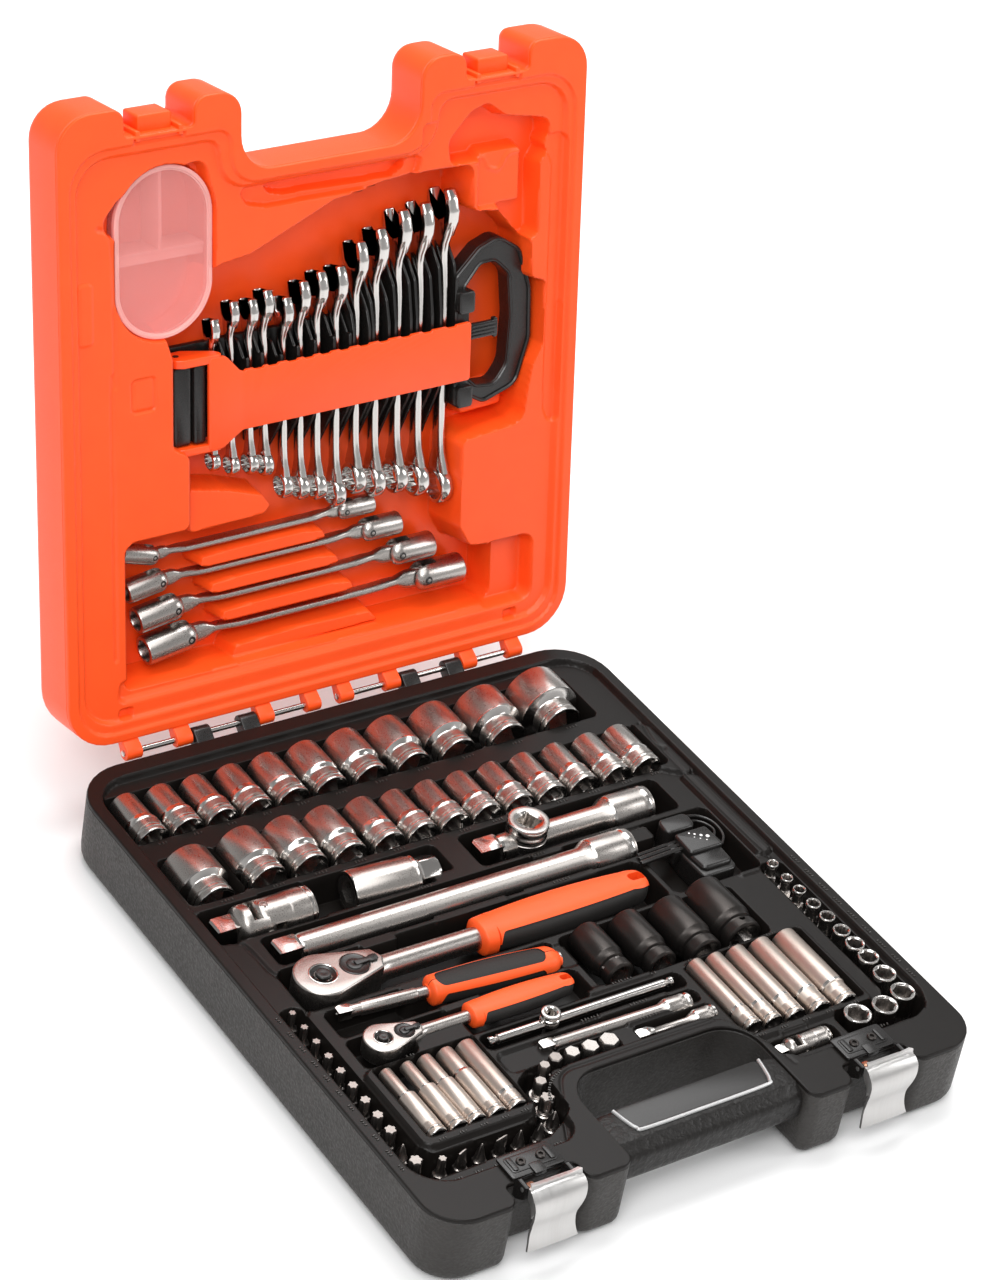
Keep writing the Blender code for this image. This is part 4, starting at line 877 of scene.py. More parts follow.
def deep_socket(width, length, near, split):
    """A deep quarter-inch socket about Z, its square drive at the bottom."""
    r, n = width / 2, near / 2
    profile = [(0.5, n - 1.5, 2), (0.0, n - 1.2, 1), (0.3, n - 0.3, 1), (0.9, n, 0), (1.8, n, 0),
        (2.2, n - 0.4, 0), (2.9, n - 0.4, 0), (3.2, n, 1), (4.2, n, 0), (4.5, n - 0.3, 0),
        (5.0, n - 0.3, 0), (5.1, knurled(n - 0.05, ROUND, 0.14), 0),
        (8.6, knurled(n - 0.05, ROUND, 0.14), 0), (8.7, n - 0.25, 0), (9.5, n - 0.25, 0), (9.9, n, 0),
        (split - 1.2, n, 0), (split - 0.4, max(n, r) - 0.05, 1), (split + 0.8, r, 1), (split + 1.6, r, 0),
        (length - 0.9, r, 0), (length - 0.25, r - 0.3, 1), (length, r - 0.8, 1),
        (length, 0.9 * r - 0.4, 2), (length - 1.4, regular(1.3 * r, 6), 2),
        (length - 20, regular(1.3 * r, 6), 2), (length - 20.4, regular(6.4, 4), 2),
        (2.4, regular(6.4, 4, ROUND, 20), 2)]
    return turned(profile, closed=True)


def impact_socket(width, length):
    """A blackened impact socket about Z, its square drive at the bottom."""
    r = width / 2
    n = r - 1.5
    profile = [(0.6, n - 3.0, 2), (0.0, n - 2.2, 1), (0.2, n - 0.9, 1), (1.2, n, 0), (6.6, n, 0),
        (7.3, n - 1.5, 0), (8.2, n - 1.7, 0), (9.1, n - 1.5, 1), (9.9, n, 1), (12.6, n + 0.1, 0),
        (14.4, r - 0.3, 1), (15.4, r, 1), (length - 1.8, r, 0), (length - 0.5, r - 0.7, 1),
        (length, r - 1.6, 1), (length, 0.86 * r - 0.6, 2), (length - 1.5, regular(1.34 * r, 6), 2),
        (length - 18, regular(1.34 * r, 6), 2), (length - 18.4, regular(12.9, 4), 2),
        (4.0, regular(12.9, 4, ROUND, 20), 2)]
    return turned(profile, closed=True)


def ticks(x, y, z, n, size, seed, turn=0.0):
    """A short row of raised strokes, as moulded marks."""
    made = []
    for k in range(n):
        along = (k - (n - 1) / 2) * 2.5 * size
        tall = (1.5, 2.2, 1.9, 2.4, 1.6)[(k * 2 + seed) % 5] * size
        lean = 0.35 if (k + seed) % 2 else -0.2
        mark = slab([(-0.35, -tall / 2), (0.35, -tall / 2), (0.35 + lean, tall / 2),
            (-0.35 + lean, tall / 2)], -0.2, 0.55, 0.12, 0.0, steps=1)
        c, s = math.cos(math.radians(turn)), math.sin(math.radians(turn))
        made.append(moved(mark, x + along * c, y + along * s, z, spin=turn))
    return made


def sockets():
    """Every socket in the base."""
    for number, (x, r) in enumerate(row_places(), 1):
        shape = moved(half_socket(2 * r), x, 138, 40, along='Y', roll=12 * (number % 5))
        piece(f"socket_row_one_{number:02d}", f"socket_{number:02d}", [shape], STEEL,
            f"socket_half_{number:02d}", sharp=40)
    for number, (x, r) in enumerate(second_row_places(), 1):
        shape = moved(half_socket(2 * r), x, 78, second_row_axis(r), along='Y',
            roll=17 * (number % 6) + 8)
        piece(f"socket_row_two_{number:02d}", "root", [shape], STEEL, sharp=40)
    for number, (x, y, width, length) in enumerate(((25, -56, 22, 40), (54, -57, 23.5, 42),
            (85, -57.5, 26, 44), (116, -53, 29, 46)), 1):
        near, axis = y - length / 2, 52.3 - width / 2
        shape = moved(impact_socket(width, length), x, near, axis, along='Y')
        cuts = [moved(turned([(-20, 2.0), (20, 2.0)], n=PLAIN), x, near + 6.0,
            axis)] if number == 4 else []
        piece(f"impact_socket_{number}", "root", [shape], [DARK_STEEL, DARK_STEEL, BORE],
            sharp=40, cuts=cuts)
    deep = []
    for x, r, near, split in ((-148, 4.1, 12.2, 33), (-134, 4.2, 12.2, 34), (-122, 4.9, 12.2, 34),
            (-108.5, 5.6, 12.6, 36), (-95, 6.3, 12.6, 12)):
        deep.append(moved(deep_socket(2 * r, 56, near, split), x, -146.5, 49.6 - near / 2, along='Y',
            roll=20))
    for x, r, near, length in ((68, 5.6, 11.6, 60), (82, 6.2, 12.4, 61), (98, 7.0, 13.4, 62),
            (116, 7.9, 14.6, 63), (134.5, 8.7, 15.8, 64)):
        deep.append(moved(deep_socket(2 * r, length, near, 15), x, -88 - length, 50.5 - r, along='Y',
            roll=35))
    for k, shape in enumerate(deep, 1):
        piece(f"deep_socket_{k:02d}", "root", [shape], [WARM, BRIGHT, DARK_STEEL], sharp=40)
    # the small ones have a waist above their drive, the others are straight
    standing = ((167.7, -33.5, 7.6, 5.6), (167.6, -48, 8.0, 6.0), (168, -60, 8.6, 6.6),
        (168, -74, 9.6, 7.6), (168.5, -87, 10.2, 8.8), (168.6, -101, 11.2, 10), (168.5, -114, 12.4, 0),
        (168.6, -127, 13.4, 0), (168.2, -143, 14.6, 0), (168, -160.5, 15.6, 0), (150.5, -165.5, 16.2, 0),
        (130.5, -165, 17, 0))
    for k, (x, y, width, waist) in enumerate(standing, 1):
        shape = small_socket(width, 25.4, (waist or width) / 2, 6.4 if waist else width / 2)
        piece(f"small_socket_{k:02d}", "root", [moved(shape, x, y, 22.7, roll=9 * k)], STEEL,
            sharp=40)


# ---------------------------------------------------------------- bars, joints and the coupler
def square_tip(size, length, ball=True):
    """A male square about Z from 0, with its chamfered end and detent ball."""
    square = regular(size, 4, PLAIN, 45)
    made = [turned([(-3.5, size * 0.5), (0.0, square), (length - 1.6, square), (length, 0.84 * square)],
        n=PLAIN)]
    if ball:
        dome = [(size / 2 - 0.6, 0.16 * size), (size / 2 + 0.25, 0.15 * size),
            (size / 2 + 0.7, 0.07 * size)]
        made.append(moved(turned(dome, n=16), 0, 0, 0.55 * length))
    return made


def extension(name, body, x0, x1, y, z, size, r, end_r, end_length, square_length, stands_for=None,
        y1=None):
    """An extension bar along X, its square tip on the left and its socket end on the right."""
    length = x1 - x0
    s, e = square_length, length - end_length
    mouth, deep = regular(size + 0.2, 4, FINE, 45), length - 1.2 * size
    cone = 1.1 * (end_r - r) + 2
    profile = [(s - 0.8, size * 0.5, 1), (s, size * 0.62, 1), (s + 2.2, r, 0), (e - cone, r, 0),
        (e - 1.0, end_r - 0.9, 1), (e, end_r - 0.25, 1), (e + 1.2, end_r, 0),
        (length - 0.5 * end_length, end_r, 0), (length - 0.5 * end_length + 0.2, knurled(end_r), 0),
        (length - 0.26 * end_length, knurled(end_r), 0), (length - 0.25 * end_length, end_r - 0.35, 0),
        (length - 0.18 * end_length, end_r - 0.35, 1), (length - 0.15 * end_length, end_r + 0.05, 1),
        (length - 0.07 * end_length, end_r + 0.05, 0), (length - 0.04 * end_length, end_r - 0.4, 0),
        (length - 0.3, end_r - 0.4, 1), (length, end_r - 0.9, 1), (length, end_r - 1.7, 2),
        (length - 1.6, mouth, 2), (deep, mouth, 2), (deep - 1, 1.0, 2)]
    flip = Matrix.Translation((0, 0, s)) @ spun(180, 'X')
    tip = [dyed(through(t, flip), 1) for t in square_tip(size, s)]
    lean = spun(math.degrees(math.atan2(y1 - y, length)) if y1 is not None else 0)
    place = Matrix.Translation((x0, y, z)) @ lean @ spun(90, 'X') @ LAY['X']
    piece(name, body, [through(shape, place) for shape in (turned(profile, n=FINE), *tip)], STEEL,
        stands_for, sharp=40)


def slider(name, body, x, y, r, bottom, top, size, stands_for):
    """The square-holed slider of a sliding T-handle."""
    hole, drop = regular(size, 4, FINE, 65), top - bottom
    profile = [(bottom, hole * 0.6, 2), (bottom, size * 0.55, 1), (bottom + 1, size * 0.62, 1),
        (bottom + 0.40 * drop, size * 0.66, 0), (bottom + 0.44 * drop, r - 0.6, 1),
        (bottom + 0.47 * drop, knurled(r - 0.2), 0), (bottom + 0.62 * drop, knurled(r - 0.2), 0),
        (bottom + 0.63 * drop, r - 0.6, 0), (bottom + 0.68 * drop, r - 0.6, 1),
        (bottom + 0.70 * drop, r - 0.1, 1), (bottom + 0.76 * drop, r, 1),
        (bottom + 0.79 * drop, r - 0.5, 0), (bottom + 0.83 * drop, r - 0.5, 1),
        (bottom + 0.86 * drop, r, 1), (top - 0.8, r, 1), (top - 0.15, r - 0.5, 1), (top, r - 1.2, 0),
        (top, r * 0.70, 1), (top - 0.6, r * 0.60, 1), (top - 1.2, 0.92 * hole, 1),
        (bottom + 0.3 * drop, 0.92 * hole, 2), (bottom + 0.3 * drop, 0.3, 2)]
    piece(name, body, [moved(turned(profile, n=FINE), x, y)], STEEL, stands_for, sharp=40)


def t_bar():
    """The plain bar of the small sliding T-handle, with grooved ends."""
    profile = [(0, 2.2, 1), (0.6, 2.9, 1), (3.0, 2.9, 1), (3.8, 2.0, 0), (5.6, 2.0, 0), (6.4, 3.0, 1),
        (122.6, 3.0, 0), (123.4, 2.0, 0), (125.2, 2.0, 1), (126.0, 2.9, 1), (128.4, 2.9, 1),
        (129, 2.2, 1)]
    piece("small_t_handle_bar", "small_t_bar", [moved(turned(profile, n=ROUND), -81, -94, 44.5,
        along='X')], STEEL, "t_bar_quarter", sharp=40)


def universal(prefix, body, x0, y, size, r, length, top, nodes):
    """A universal joint along X: square-tipped fork, block with its pin, and driven fork."""
    z = RIM + top - r
    pivot = x0 + length / 2
    tip = 1.1 * size
    throat = 0.62 * r
    # driving fork: cheeks beside the block
    back = x0 + tip
    round_part = [(back - 0.4, 0.60 * size)]
    round_part += scaled([(0, 0.66), (0.18, 0.90), (0.34, 0.97), (0.62, 0.97), (0.66, 0.90)], back, r, r)
    shapes = [moved(turned(round_part, n=FINE), 0, y, z, along='X')]

    def ear(h, nose, root, reach):
        """One level of a fork's ear: half as wide as the round bar is at that height."""
        wide = math.sqrt(max((0.975 * r) ** 2 - h * h, (0.12 * r) ** 2))
        arc = np.linspace(0.12, math.pi - 0.12, 14)
        return [(root, wide), *[(nose + reach * math.sin(a), wide * math.cos(a)) for a in arc],
            (root, -wide)]

    for s in (-1, 1):
        rings = []
        for t in np.linspace(0, 1, 8):
            h = throat + (0.968 * r - throat) * t
            reach = 0.42 * r * math.sqrt(max(1 - (0.8 * t) ** 2.5, 0.05))
            rings.append(np.array([(px, y + s * h, z + pz) for px, pz in ear(h, pivot - 0.05 * r,
                back + 0.5 * r, reach)]))
        shapes.append(lofted(rings if s < 0 else rings[::-1]))
    place = Matrix.Translation((x0, y, z)) @ spun(90, 'X') @ LAY['X'] @ Matrix.Translation((0, 0,
        tip)) @ spun(180, 'X')
    shapes += [dyed(through(t, place), 1) for t in square_tip(size, tip, ball=False)]
    piece(f"{prefix}_drive_fork", body, shapes, STEEL, nodes[0], sharp=35)
    side = throat - 0.3
    block = [bar(pivot - 0.80 * side, pivot + 0.80 * side, y - side, y + side, z - 0.8 * side,
        z + 0.8 * side, 1.0, 1.4)]
    for s in (-1, 1):
        pin = turned([(0, 0.2 * r), (0.98 * r - side + 0.3, 0.2 * r), (0.98 * r - side + 0.5, 0.14 * r)],
            n=PLAIN)
        block.append(moved(pin, pivot, y + s * (side - 0.3), z, along='Y' if s > 0 else '-Y'))
    piece(f"{prefix}_cross", f"{body}_block", block, [SATIN], nodes[1], sharp=35)
    # driven fork: ears over and under the block, then the knurled barrel
    far = x0 + length
    start = pivot + 0.86 * r
    mouth = regular(size + 0.2, 4, FINE, 45)
    barrel = scaled([(-0.1, 0.55, 0), (0, 0.88, 0), (0.35, 0.985, 0), (0.45, 1, 0)], start, r, r)
    barrel += [(far - 0.62 * r, r, 0), (far - 0.61 * r, knurled(r), 0), (far - 0.38 * r, knurled(r), 0),
        (far - 0.37 * r, r - 0.4, 0), (far - 0.3 * r, r - 0.4, 1), (far - 0.28 * r, r, 1),
        (far - 0.16 * r, r, 0), (far - 0.14 * r, r - 0.5, 0), (far - 0.08 * r, r - 0.5, 1),
        (far - 0.06 * r, r - 0.1, 1), (far - 0.4, r - 0.1, 1), (far, r - 0.6, 1), (far, 0.7 * r, 2),
        (far - 1.2, mouth, 2), (far - 1.1 * size, mouth, 2), (far - 1.1 * size - 0.5, 0.5, 2)]
    shapes = [moved(turned(barrel, n=FINE), 0, y, z, along='X')]
    for s in (-1, 1):
        rings = []
        for t in np.linspace(0, 1, 9):
            h = 0.66 * throat + (0.972 * r - 0.66 * throat) * t
            reach = 0.46 * r * math.sqrt(max(1 - (0.86 * t) ** 2.4, 0.05))
            line = ear(h, 0.0, -(start + 0.4 * r - pivot), reach)
            rings.append(np.array([(pivot - px, y + py, z + s * h) for px, py in line]))
        shapes.append(lofted(rings if s < 0 else rings[::-1]))
    hexagon = regular(0.2, 6, PLAIN)
    screw = scaled([(0.93, 0.23, 1), (1, 0.23, 1), (1.03, 0.19, 2), (1.03, hexagon, 2),
        (0.94, hexagon, 2)], 0, r, r)
    shapes.append(moved(turned(screw, n=PLAIN), pivot, y, z - 0.04 * r))
    piece(f"{prefix}_driven_fork_body", f"{body}_driven_fork", shapes, STEEL, nodes[2],
        sharp=35)


def coupler():
    """A bit coupler along X: wide mouth on the left, hexagon on the right."""
    profile = [(0.6, 9.0, 2), (0.0, 10.4, 1), (0.2, 12.4, 1), (1.0, 13.0, 0), (36, 13.0, 0),
        (36.4, knurled(13.05), 0), (40, knurled(13.05), 0), (40.3, 12.6, 0), (42, 12.6, 1),
        (42.6, 12.9, 1), (43.6, 12.9, 0), (44.4, 12.0, 1), (45.6, 11.4, 1), (46.6, 11.0, 1),
        (46.8, regular(19.6, 6, FINE) * 0.99, 1), (57, regular(19.6, 6, FINE), 1),
        (59.0, np.minimum(regular(19.6, 6, FINE), 9.9), 1), (59.6, 9.0, 1)]
    body = turned(profile, n=FINE)
    well = turned([(-1, regular(13.2, 6, PLAIN)), (22, regular(13.2, 6, PLAIN))], n=PLAIN)
    lean = Matrix.Translation((-82, 54, 39.8)) @ spun(-3.8) @ LAY['X']
    piece("bit_coupler", "root", [through(body, lean)], STEEL, sharp=40,
        cuts=[through(well, lean)])


# ---------------------------------------------------------------- ratchets, driver
def grip_loft(x0, x1, axis, half_width, half_height, bounds, first, recess=0.5, power=2.5,
        counts=(10, 14, 14)):
    """A soft grip along X; its colours change at BOUNDS(x) degrees from the top."""
    even, close_at_ends = np.linspace(0, 1, 90), 0.5 * (1 - np.cos(np.linspace(0, math.pi, 90)))
    rings, kinds = [], None
    for x in np.unique(np.round(x0 + (x1 - x0) * np.concatenate([close_at_ends, even]), 2)):
        w, h, (yc, zc) = half_width(x), half_height(x), axis
        edges = [0.0, *bounds(x), 180.0]
        side, colour = [], first
        for a, b, n in zip(edges, edges[1:], counts):
            drop = recess * colour
            for angle in np.radians(np.linspace(a, b, n)):
                c, s = math.cos(angle), math.sin(angle)
                r = (abs(s) ** power + abs(c) ** power) ** (-1 / power)
                side.append((s * r * max(w - drop, 0.05), c * r * max(h - drop, 0.05), colour))
            colour = 1 - colour
        whole = side + [(-p, q, k) for p, q, k in side[::-1][1:-1]]
        rings.append(np.array([(x, yc - p, zc + q) for p, q, k in whole]))
        kinds = [k for p, q, k in whole]
    points, faces, _ = lofted(rings)
    looks = [max(a, b) for a, b in zip(kinds, kinds[1:] + kinds[:1])] * (len(rings) - 1)
    return points, faces, looks + [0, 0]


def rounded_end(x, x0, x1, start, end):
    """A factor that closes a grip's width over START at x0 and END at x1."""
    f = 1.0
    if x < x0 + start:
        f *= math.sqrt(max(1 - ((x0 + start - x) / start) ** 2, 0.0)) if start else 1.0
    if x > x1 - end:
        f *= math.sqrt(max(1 - ((x - x1 + end) / end) ** 2, 0.0))
    return f


def ratchet(prefix, body, x, y, head_r, thick, reach, shank_r, shank, grip_x, width, height, size, button,
        nodes):
    """A ratchet along X, its head on the left: NODES are its head, anvil, selector and grip in the CAD."""
    top = 52.5 - 1.5 * thick / 22
    low = top - thick
    axis_z = top - 0.46 * thick
    s0, s1 = x + shank[0], x + shank[1]
    # pear-shaped head, its flanks running into the shank
    flank = math.asin((head_r - 1.12 * shank_r) / (shank[0] + 0.1 * head_r))
    line = [(x + head_r * math.cos(a), y + head_r * math.sin(a))
        for a in np.linspace(math.pi / 2 - flank, 3 * math.pi / 2 + flank, 44)]
    line += [(s0 + 0.12 * head_r, y - 1.10 * shank_r), (s0 + 0.34 * head_r, y),
        (s0 + 0.12 * head_r, y + 1.10 * shank_r)]
    head = slab(np.array(line), low, top, 0.075 * head_r, 0.16 * head_r, steps=4)
    neck_x = np.linspace(x + reach + 0.35 * head_r, s1, 48)
    rings = []
    for sx in neck_x:
        t = (sx - neck_x[0]) / (s0 + 0.55 * head_r - neck_x[0])
        ease = eased(np.clip(t, 0, 1))
        thin = ease * shank_r * (1 - 0.08 * min(max((sx - s0) / (s1 - s0), 0), 1))
        line = squircle(ROUND, 2 + 1.2 * (1 - ease)) * ((1 - ease) * 0.58 * head_r + thin,
            (1 - ease) * 0.40 * thick + thin)
        drop = 0.02 * thick * (1 - ease)
        rings.append(np.column_stack([np.full(ROUND, sx), y + line[:, 0], axis_z + line[:, 1] - drop]))
    shank_shape = lofted(rings)
    # wells for the selector and the dish, and the button's deeper one
    cuts = [moved(turned([(deep, r * head_r), (3, r * head_r)], n=ROUND), px, y, top)
        for deep, r, px in ((-1.4, 0.53, x + reach), (-1.4, 0.50, x), (-4.4, 0.29, x))]
    piece(f"{prefix}_head", body, [head], [SATIN], nodes[0], sharp=30, cuts=cuts)
    piece(f"{prefix}_shank", body, [shank_shape], [SATIN], sharp=50)
    ring = scaled([(-1.5, 0.50, 1), (0.25, 0.50, 1), (0.35, 0.47, 1), (0.1, 0.44, 1), (-0.5, 0.42, 1),
        (-1.5, 0.42, 1)], top, 1, head_r)
    piece(f"{prefix}_ring", body, [moved(turned(ring, closed=True), x, y)], STEEL)
    dish = scaled([(-1.5, 0.42), (-0.35, 0.42), (-0.7, 0.37), (-1.2, 0.30), (-1.5, 0.30)], top, 1, head_r)
    piece(f"{prefix}_dish", body, [moved(turned(dish, closed=True), x, y)], BLACK)
    # the square drive below
    square = regular(size, 4, PLAIN, 45)
    anvil = [(low - 1.1 * size, 0.84 * square), (low - 1.1 * size + 1.5, square), (low - 0.2, square),
        (low - 0.2, 0.56 * head_r - 0.4), (low + 2.2, 0.56 * head_r - 0.4)]
    piece(f"{prefix}_square", f"{body}_drive", [moved(turned(anvil, n=PLAIN), x, y)], SATIN,
        nodes[1])
    press = scaled([(-1.2, 0.26), (0.1, 0.26), (0.8, 0.23), (1.0, 0.17), (0.75, 0.08),
        (0.7, 0.02 / head_r)], top, 1, head_r)
    carrier = f"{body}_button" if button else f"{body}_drive"
    piece(f"{prefix}_button_cap", carrier, [moved(turned(press), x, y)], BLACK, button)
    disc = scaled([(-1.3, 0.50), (0.1, 0.50), (0.3, 0.47), (-0.1, 0.40), (-0.1, 0.27), (0.55, 0.25),
        (0.8, 0.20), (0.8, 0.10), (0.4, 0.02 / head_r)], top, 1, head_r)
    half = scaled([(0, 0.13, 1), (0.52, 0.10, 0.05), (0.60, 0.15, 0.4), (0.86, 0.15, 0.12 * head_r)], 0,
        head_r, head_r)
    lever = outline([(px, -py, r) for px, py, r in half] + half[::-1])
    shapes = [moved(turned(disc), x + reach, y), moved(slab(lever, top + 0.1, top + 1.35, 0.3), x + reach,
        y)]
    rib = bar(-0.02 * head_r, 0.02 * head_r, -0.12 * head_r, 0.12 * head_r, top + 1.2, top + 1.5, 0.1,
        0.1)
    shapes += [moved(rib, x + reach + (0.64 + 0.045 * k) * head_r, y) for k in range(5)]
    piece(f"{prefix}_selector_lever", f"{body}_selector", shapes, BLACK, nodes[2])
    # grip
    g0, g1 = x + grip_x[0], x + grip_x[1]
    spine = math.degrees(math.atan2(0.30 * width, 0.44 * height))

    def bounds(px):
        d = px - (g0 + 0.34 * width)
        corner = 0.22 * width
        if d <= 0:
            return (176.0,)
        ease = 1 - math.sqrt(max(1 - (1 - min(d / corner, 1)) ** 2, 0))
        tail = np.clip((px - g1 + 0.55 * width) / (0.5 * width), 0, 1)
        return (spine + (176 - spine) * ease ** 1.6 + 12 * tail,)

    def half_width(px):
        t = (px - g0) / (g1 - g0)
        return (0.40 * width + 0.10 * width * math.sin(math.pi * min(t * 1.15, 1)) ** 0.8) * max(
            rounded_end(px, g0, g1, 0.10 * width, 0.48 * width), 0.45 if px < g0 + 2 else 0.02)

    def half_height(px):
        t = (px - g0) / (g1 - g0)
        return (0.44 * height + 0.06 * height * math.sin(math.pi * t)) * max(rounded_end(px, g0, g1,
            0.10 * width, 0.25 * width), 0.5 if px < g0 + 2 else 0.25)

    shape = grip_loft(g0, g1, (y, axis_z + 0.02 * height), half_width, half_height, bounds, 0,
        recess=0.035 * width, counts=(12, 26))
    hang_hole = outline([(g1 - a * width, y + b * width, 0.1 * width)
        for a, b in ((0.52, -0.11), (0.12, -0.11), (0.12, 0.11), (0.52, 0.11))])
    cutter = slab(hang_hole, axis_z - 30, axis_z + 30)
    piece(f"{prefix}_handle", body, [shape], [ORANGE_GRIP, RUBBER], nodes[3], sharp=50,
        cuts=[cutter])


def driver():
    """The quarter-inch driver with its two-colour handle."""
    lean = Matrix.Translation((-90, -43.5, 44.2)) @ spun(-4.6)

    def bounds(px):
        if px < 5:
            return (1.5, 177.0)
        ease = 1 - math.sqrt(max(1 - (1 - min((px - 5) / 5, 1)) ** 2, 0))
        ease = max(ease, 1 - math.sqrt(1 - np.clip((px - 72) / 4.5, 0, 1) ** 2))
        return (36 * (1 - ease) + 1.5, 68 + 109 * ease)

    def half_width(px):
        t = px / 88
        return (8.6 + 1.6 * math.sin(math.pi * min(t * 1.1, 1)) + 0.6 * t) * max(rounded_end(px, 0, 88, 3,
            9), 0.5)

    def half_height(px):
        t = px / 88
        return (8.2 + 0.9 * math.sin(math.pi * min(t * 1.1, 1))) * max(rounded_end(px, 0, 88, 3, 9), 0.5)

    shape = grip_loft(0, 88, (0.0, 0.0), half_width, half_height, bounds, 1, recess=0.6, power=2.4,
        counts=(8, 9, 16))
    piece("driver_handle", "root", [through(shape, lean)], [ORANGE_GRIP, RUBBER], sharp=50)
    cap = turned([(87.2, 4.4), (88.2, 4.4), (88.9, 3.6), (89.1, 2.0)], n=PLAIN)
    blade = turned([(-50, 3.3, 0), (-49, 3.6, 0), (0.5, 3.6, 0)], n=ROUND)
    collar = turned([(-43, 3.9, 0), (-42.5, 4.1, 0), (-8, 4.1, 0), (-7, 3.9, 0)], n=ROUND)
    shapes = [through(moved(s, along='X'), lean) for s in (cap, blade, collar)]
    tip_place = lean @ Matrix.Translation((-50, 0, 0)) @ spun(-90, 'Y')
    shapes += [dyed(through(t, tip_place), 1) for t in square_tip(6.35, 7.5)]
    piece("driver_blade", "root", shapes, STEEL, sharp=40)


# ---------------------------------------------------------------- keys and bits
def key_holder():
    """A folding holder of hexagon keys, closed."""
    body = [slab(outline([(122.5, -25, 5), (148.5, -25, 5), (150, -4, 3), (149, 11.5, 3), (124, 11.5, 3),
        (122, -4, 3)]), 30, 45.2, 1.5, 0.4), slab(outline([(123.6, -8, 2.5), (148.8, -8, 2.5),
        (148.2, 11.2, 2.5), (124.4, 11.2, 2.5)]), 44, 50.6, 1.6, 0.0),
        slab(outline([(125, -21, 4), (147, -21, 4), (148, -6, 2), (124, -6, 2)]), 44, 48.2, 2.2, 0.0),
        slab(outline([(122, 14.5, 4.5), (144, 14.5, 4.5), (146, 28, 4.5), (124, 28, 4.5)]), 32, 49.2, 1.6,
        0.4), bar(117, 123, -1, 8, 38, 47.0, 0.8, 1.5)]
    piece("key_holder_body", "root", body, [BLACK], sharp=38)
    keys = []
    for k, (dy, size) in enumerate(((-2.4, 3.0), (1.6, 2.6), (5.2, 2.2))):
        hexagon = regular(size, 6, 12)
        keys.append(moved(turned([(0, hexagon * 0.8), (0.5, hexagon), (33, hexagon)], n=12),
            92.5 + 1.5 * k, 2.2 + dy, 46.6 - 0.3 * k, along='X', spin=3))
    arms = (([(145, 26, 47), (152, 24, 46.6), (157.5, 18, 46.2), (158.6, 10, 46), (156.4, 2, 46),
        (151, -4, 45.6)], 0.9), ([(143, 22, 46.6), (149, 20.5, 46.2), (153.5, 15.5, 46), (154.4, 9, 46),
        (150, 3, 46)], 0.8))
    keys += [swept(smoothed(arm), r, 8) for arm, r in arms]
    piece("key_holder_keys", "root", keys, [BLACK], sharp=38)
    dots = [moved(turned([(50.5, r), (50.72, r), (50.76, r * 0.8)], n=16), 143 + dx, 1.5 + dy)
        for dx, dy, r in ((0, 0, 1.25), (-3.4, 2.2, 1.0), (-6.6, 4.6, 0.75), (-2.6, -2.8, 0.5),
        (-5.6, -0.2, 0.45), (-8.4, 2.2, 0.4), (-9.4, 6.6, 0.6))]
    piece("key_holder_dots", "root", dots, [WHITE])


BIT_N = 36
BIT_TOP, BIT_FLOOR = 47.9, 27.4
BIT_HEX = regular(7.6, 6, BIT_N)


def star(r):
    """A six-lobed ring."""
    return r * (1 - 0.24 * (0.5 + 0.5 * np.cos(6 * angles(BIT_N))))


def fins(r, k):
    """A ring with four thin fins of radius R on a core of K times R."""
    a = angles(BIT_N)
    off_axis = np.minimum(np.abs(np.sin(a)), np.abs(np.cos(a)))
    return np.maximum(r * k, np.minimum(r, 0.5 / np.maximum(off_axis, 0.05)))


def blade(half_width, half_thick):
    """A flat blade's rectangular ring."""
    a = angles(BIT_N)
    return np.minimum(half_width / np.maximum(np.abs(np.cos(a)), 1e-3),
        half_thick / np.maximum(np.abs(np.sin(a)), 1e-3))


def bit(x, y, kind, width, turn):
    """A screwdriver bit standing point up."""
    r, top, floor = width / 2, BIT_TOP, BIT_FLOOR
    neck = min(r * 0.86, 3.0)
    shank = [(floor, BIT_HEX * 0.9), (floor + 0.5, BIT_HEX), (floor + 9, BIT_HEX), (floor + 9.6, 3.3)]
    if kind == 'star':
        tip = [(floor + 11.5, max(r, neck)), (top - 8, max(r * 0.98, neck)), (top - 7, star(r)),
            (top - 0.5, star(r)), (top, star(r * 0.9))]
    elif kind == 'hex':
        hexagon = regular(width, 6, BIT_N)
        tip = [(floor + 11, hexagon), (top - 0.7, hexagon), (top, hexagon * 0.86)]
    elif kind == 'cross':
        tip = [(floor + 11.5, neck), (top - 9.5, r), (top - 8, fins(r, 0.75)),
            (top - 4.0, fins(r * 0.62, 0.5)), (top - 0.8, fins(r * 0.24, 0.5)), (top, r * 0.1)]
    else:
        tip = [(floor + 11.5, 3.0), (floor + 12.5, np.minimum(blade(r, 2.6), 3.2)),
            (top - 4.5, blade(r, 1.0)), (top - 0.3, blade(r, 0.55)), (top, blade(r - 0.2, 0.35))]
    return moved(turned(shank + tip, n=BIT_N), x, y, roll=turn)


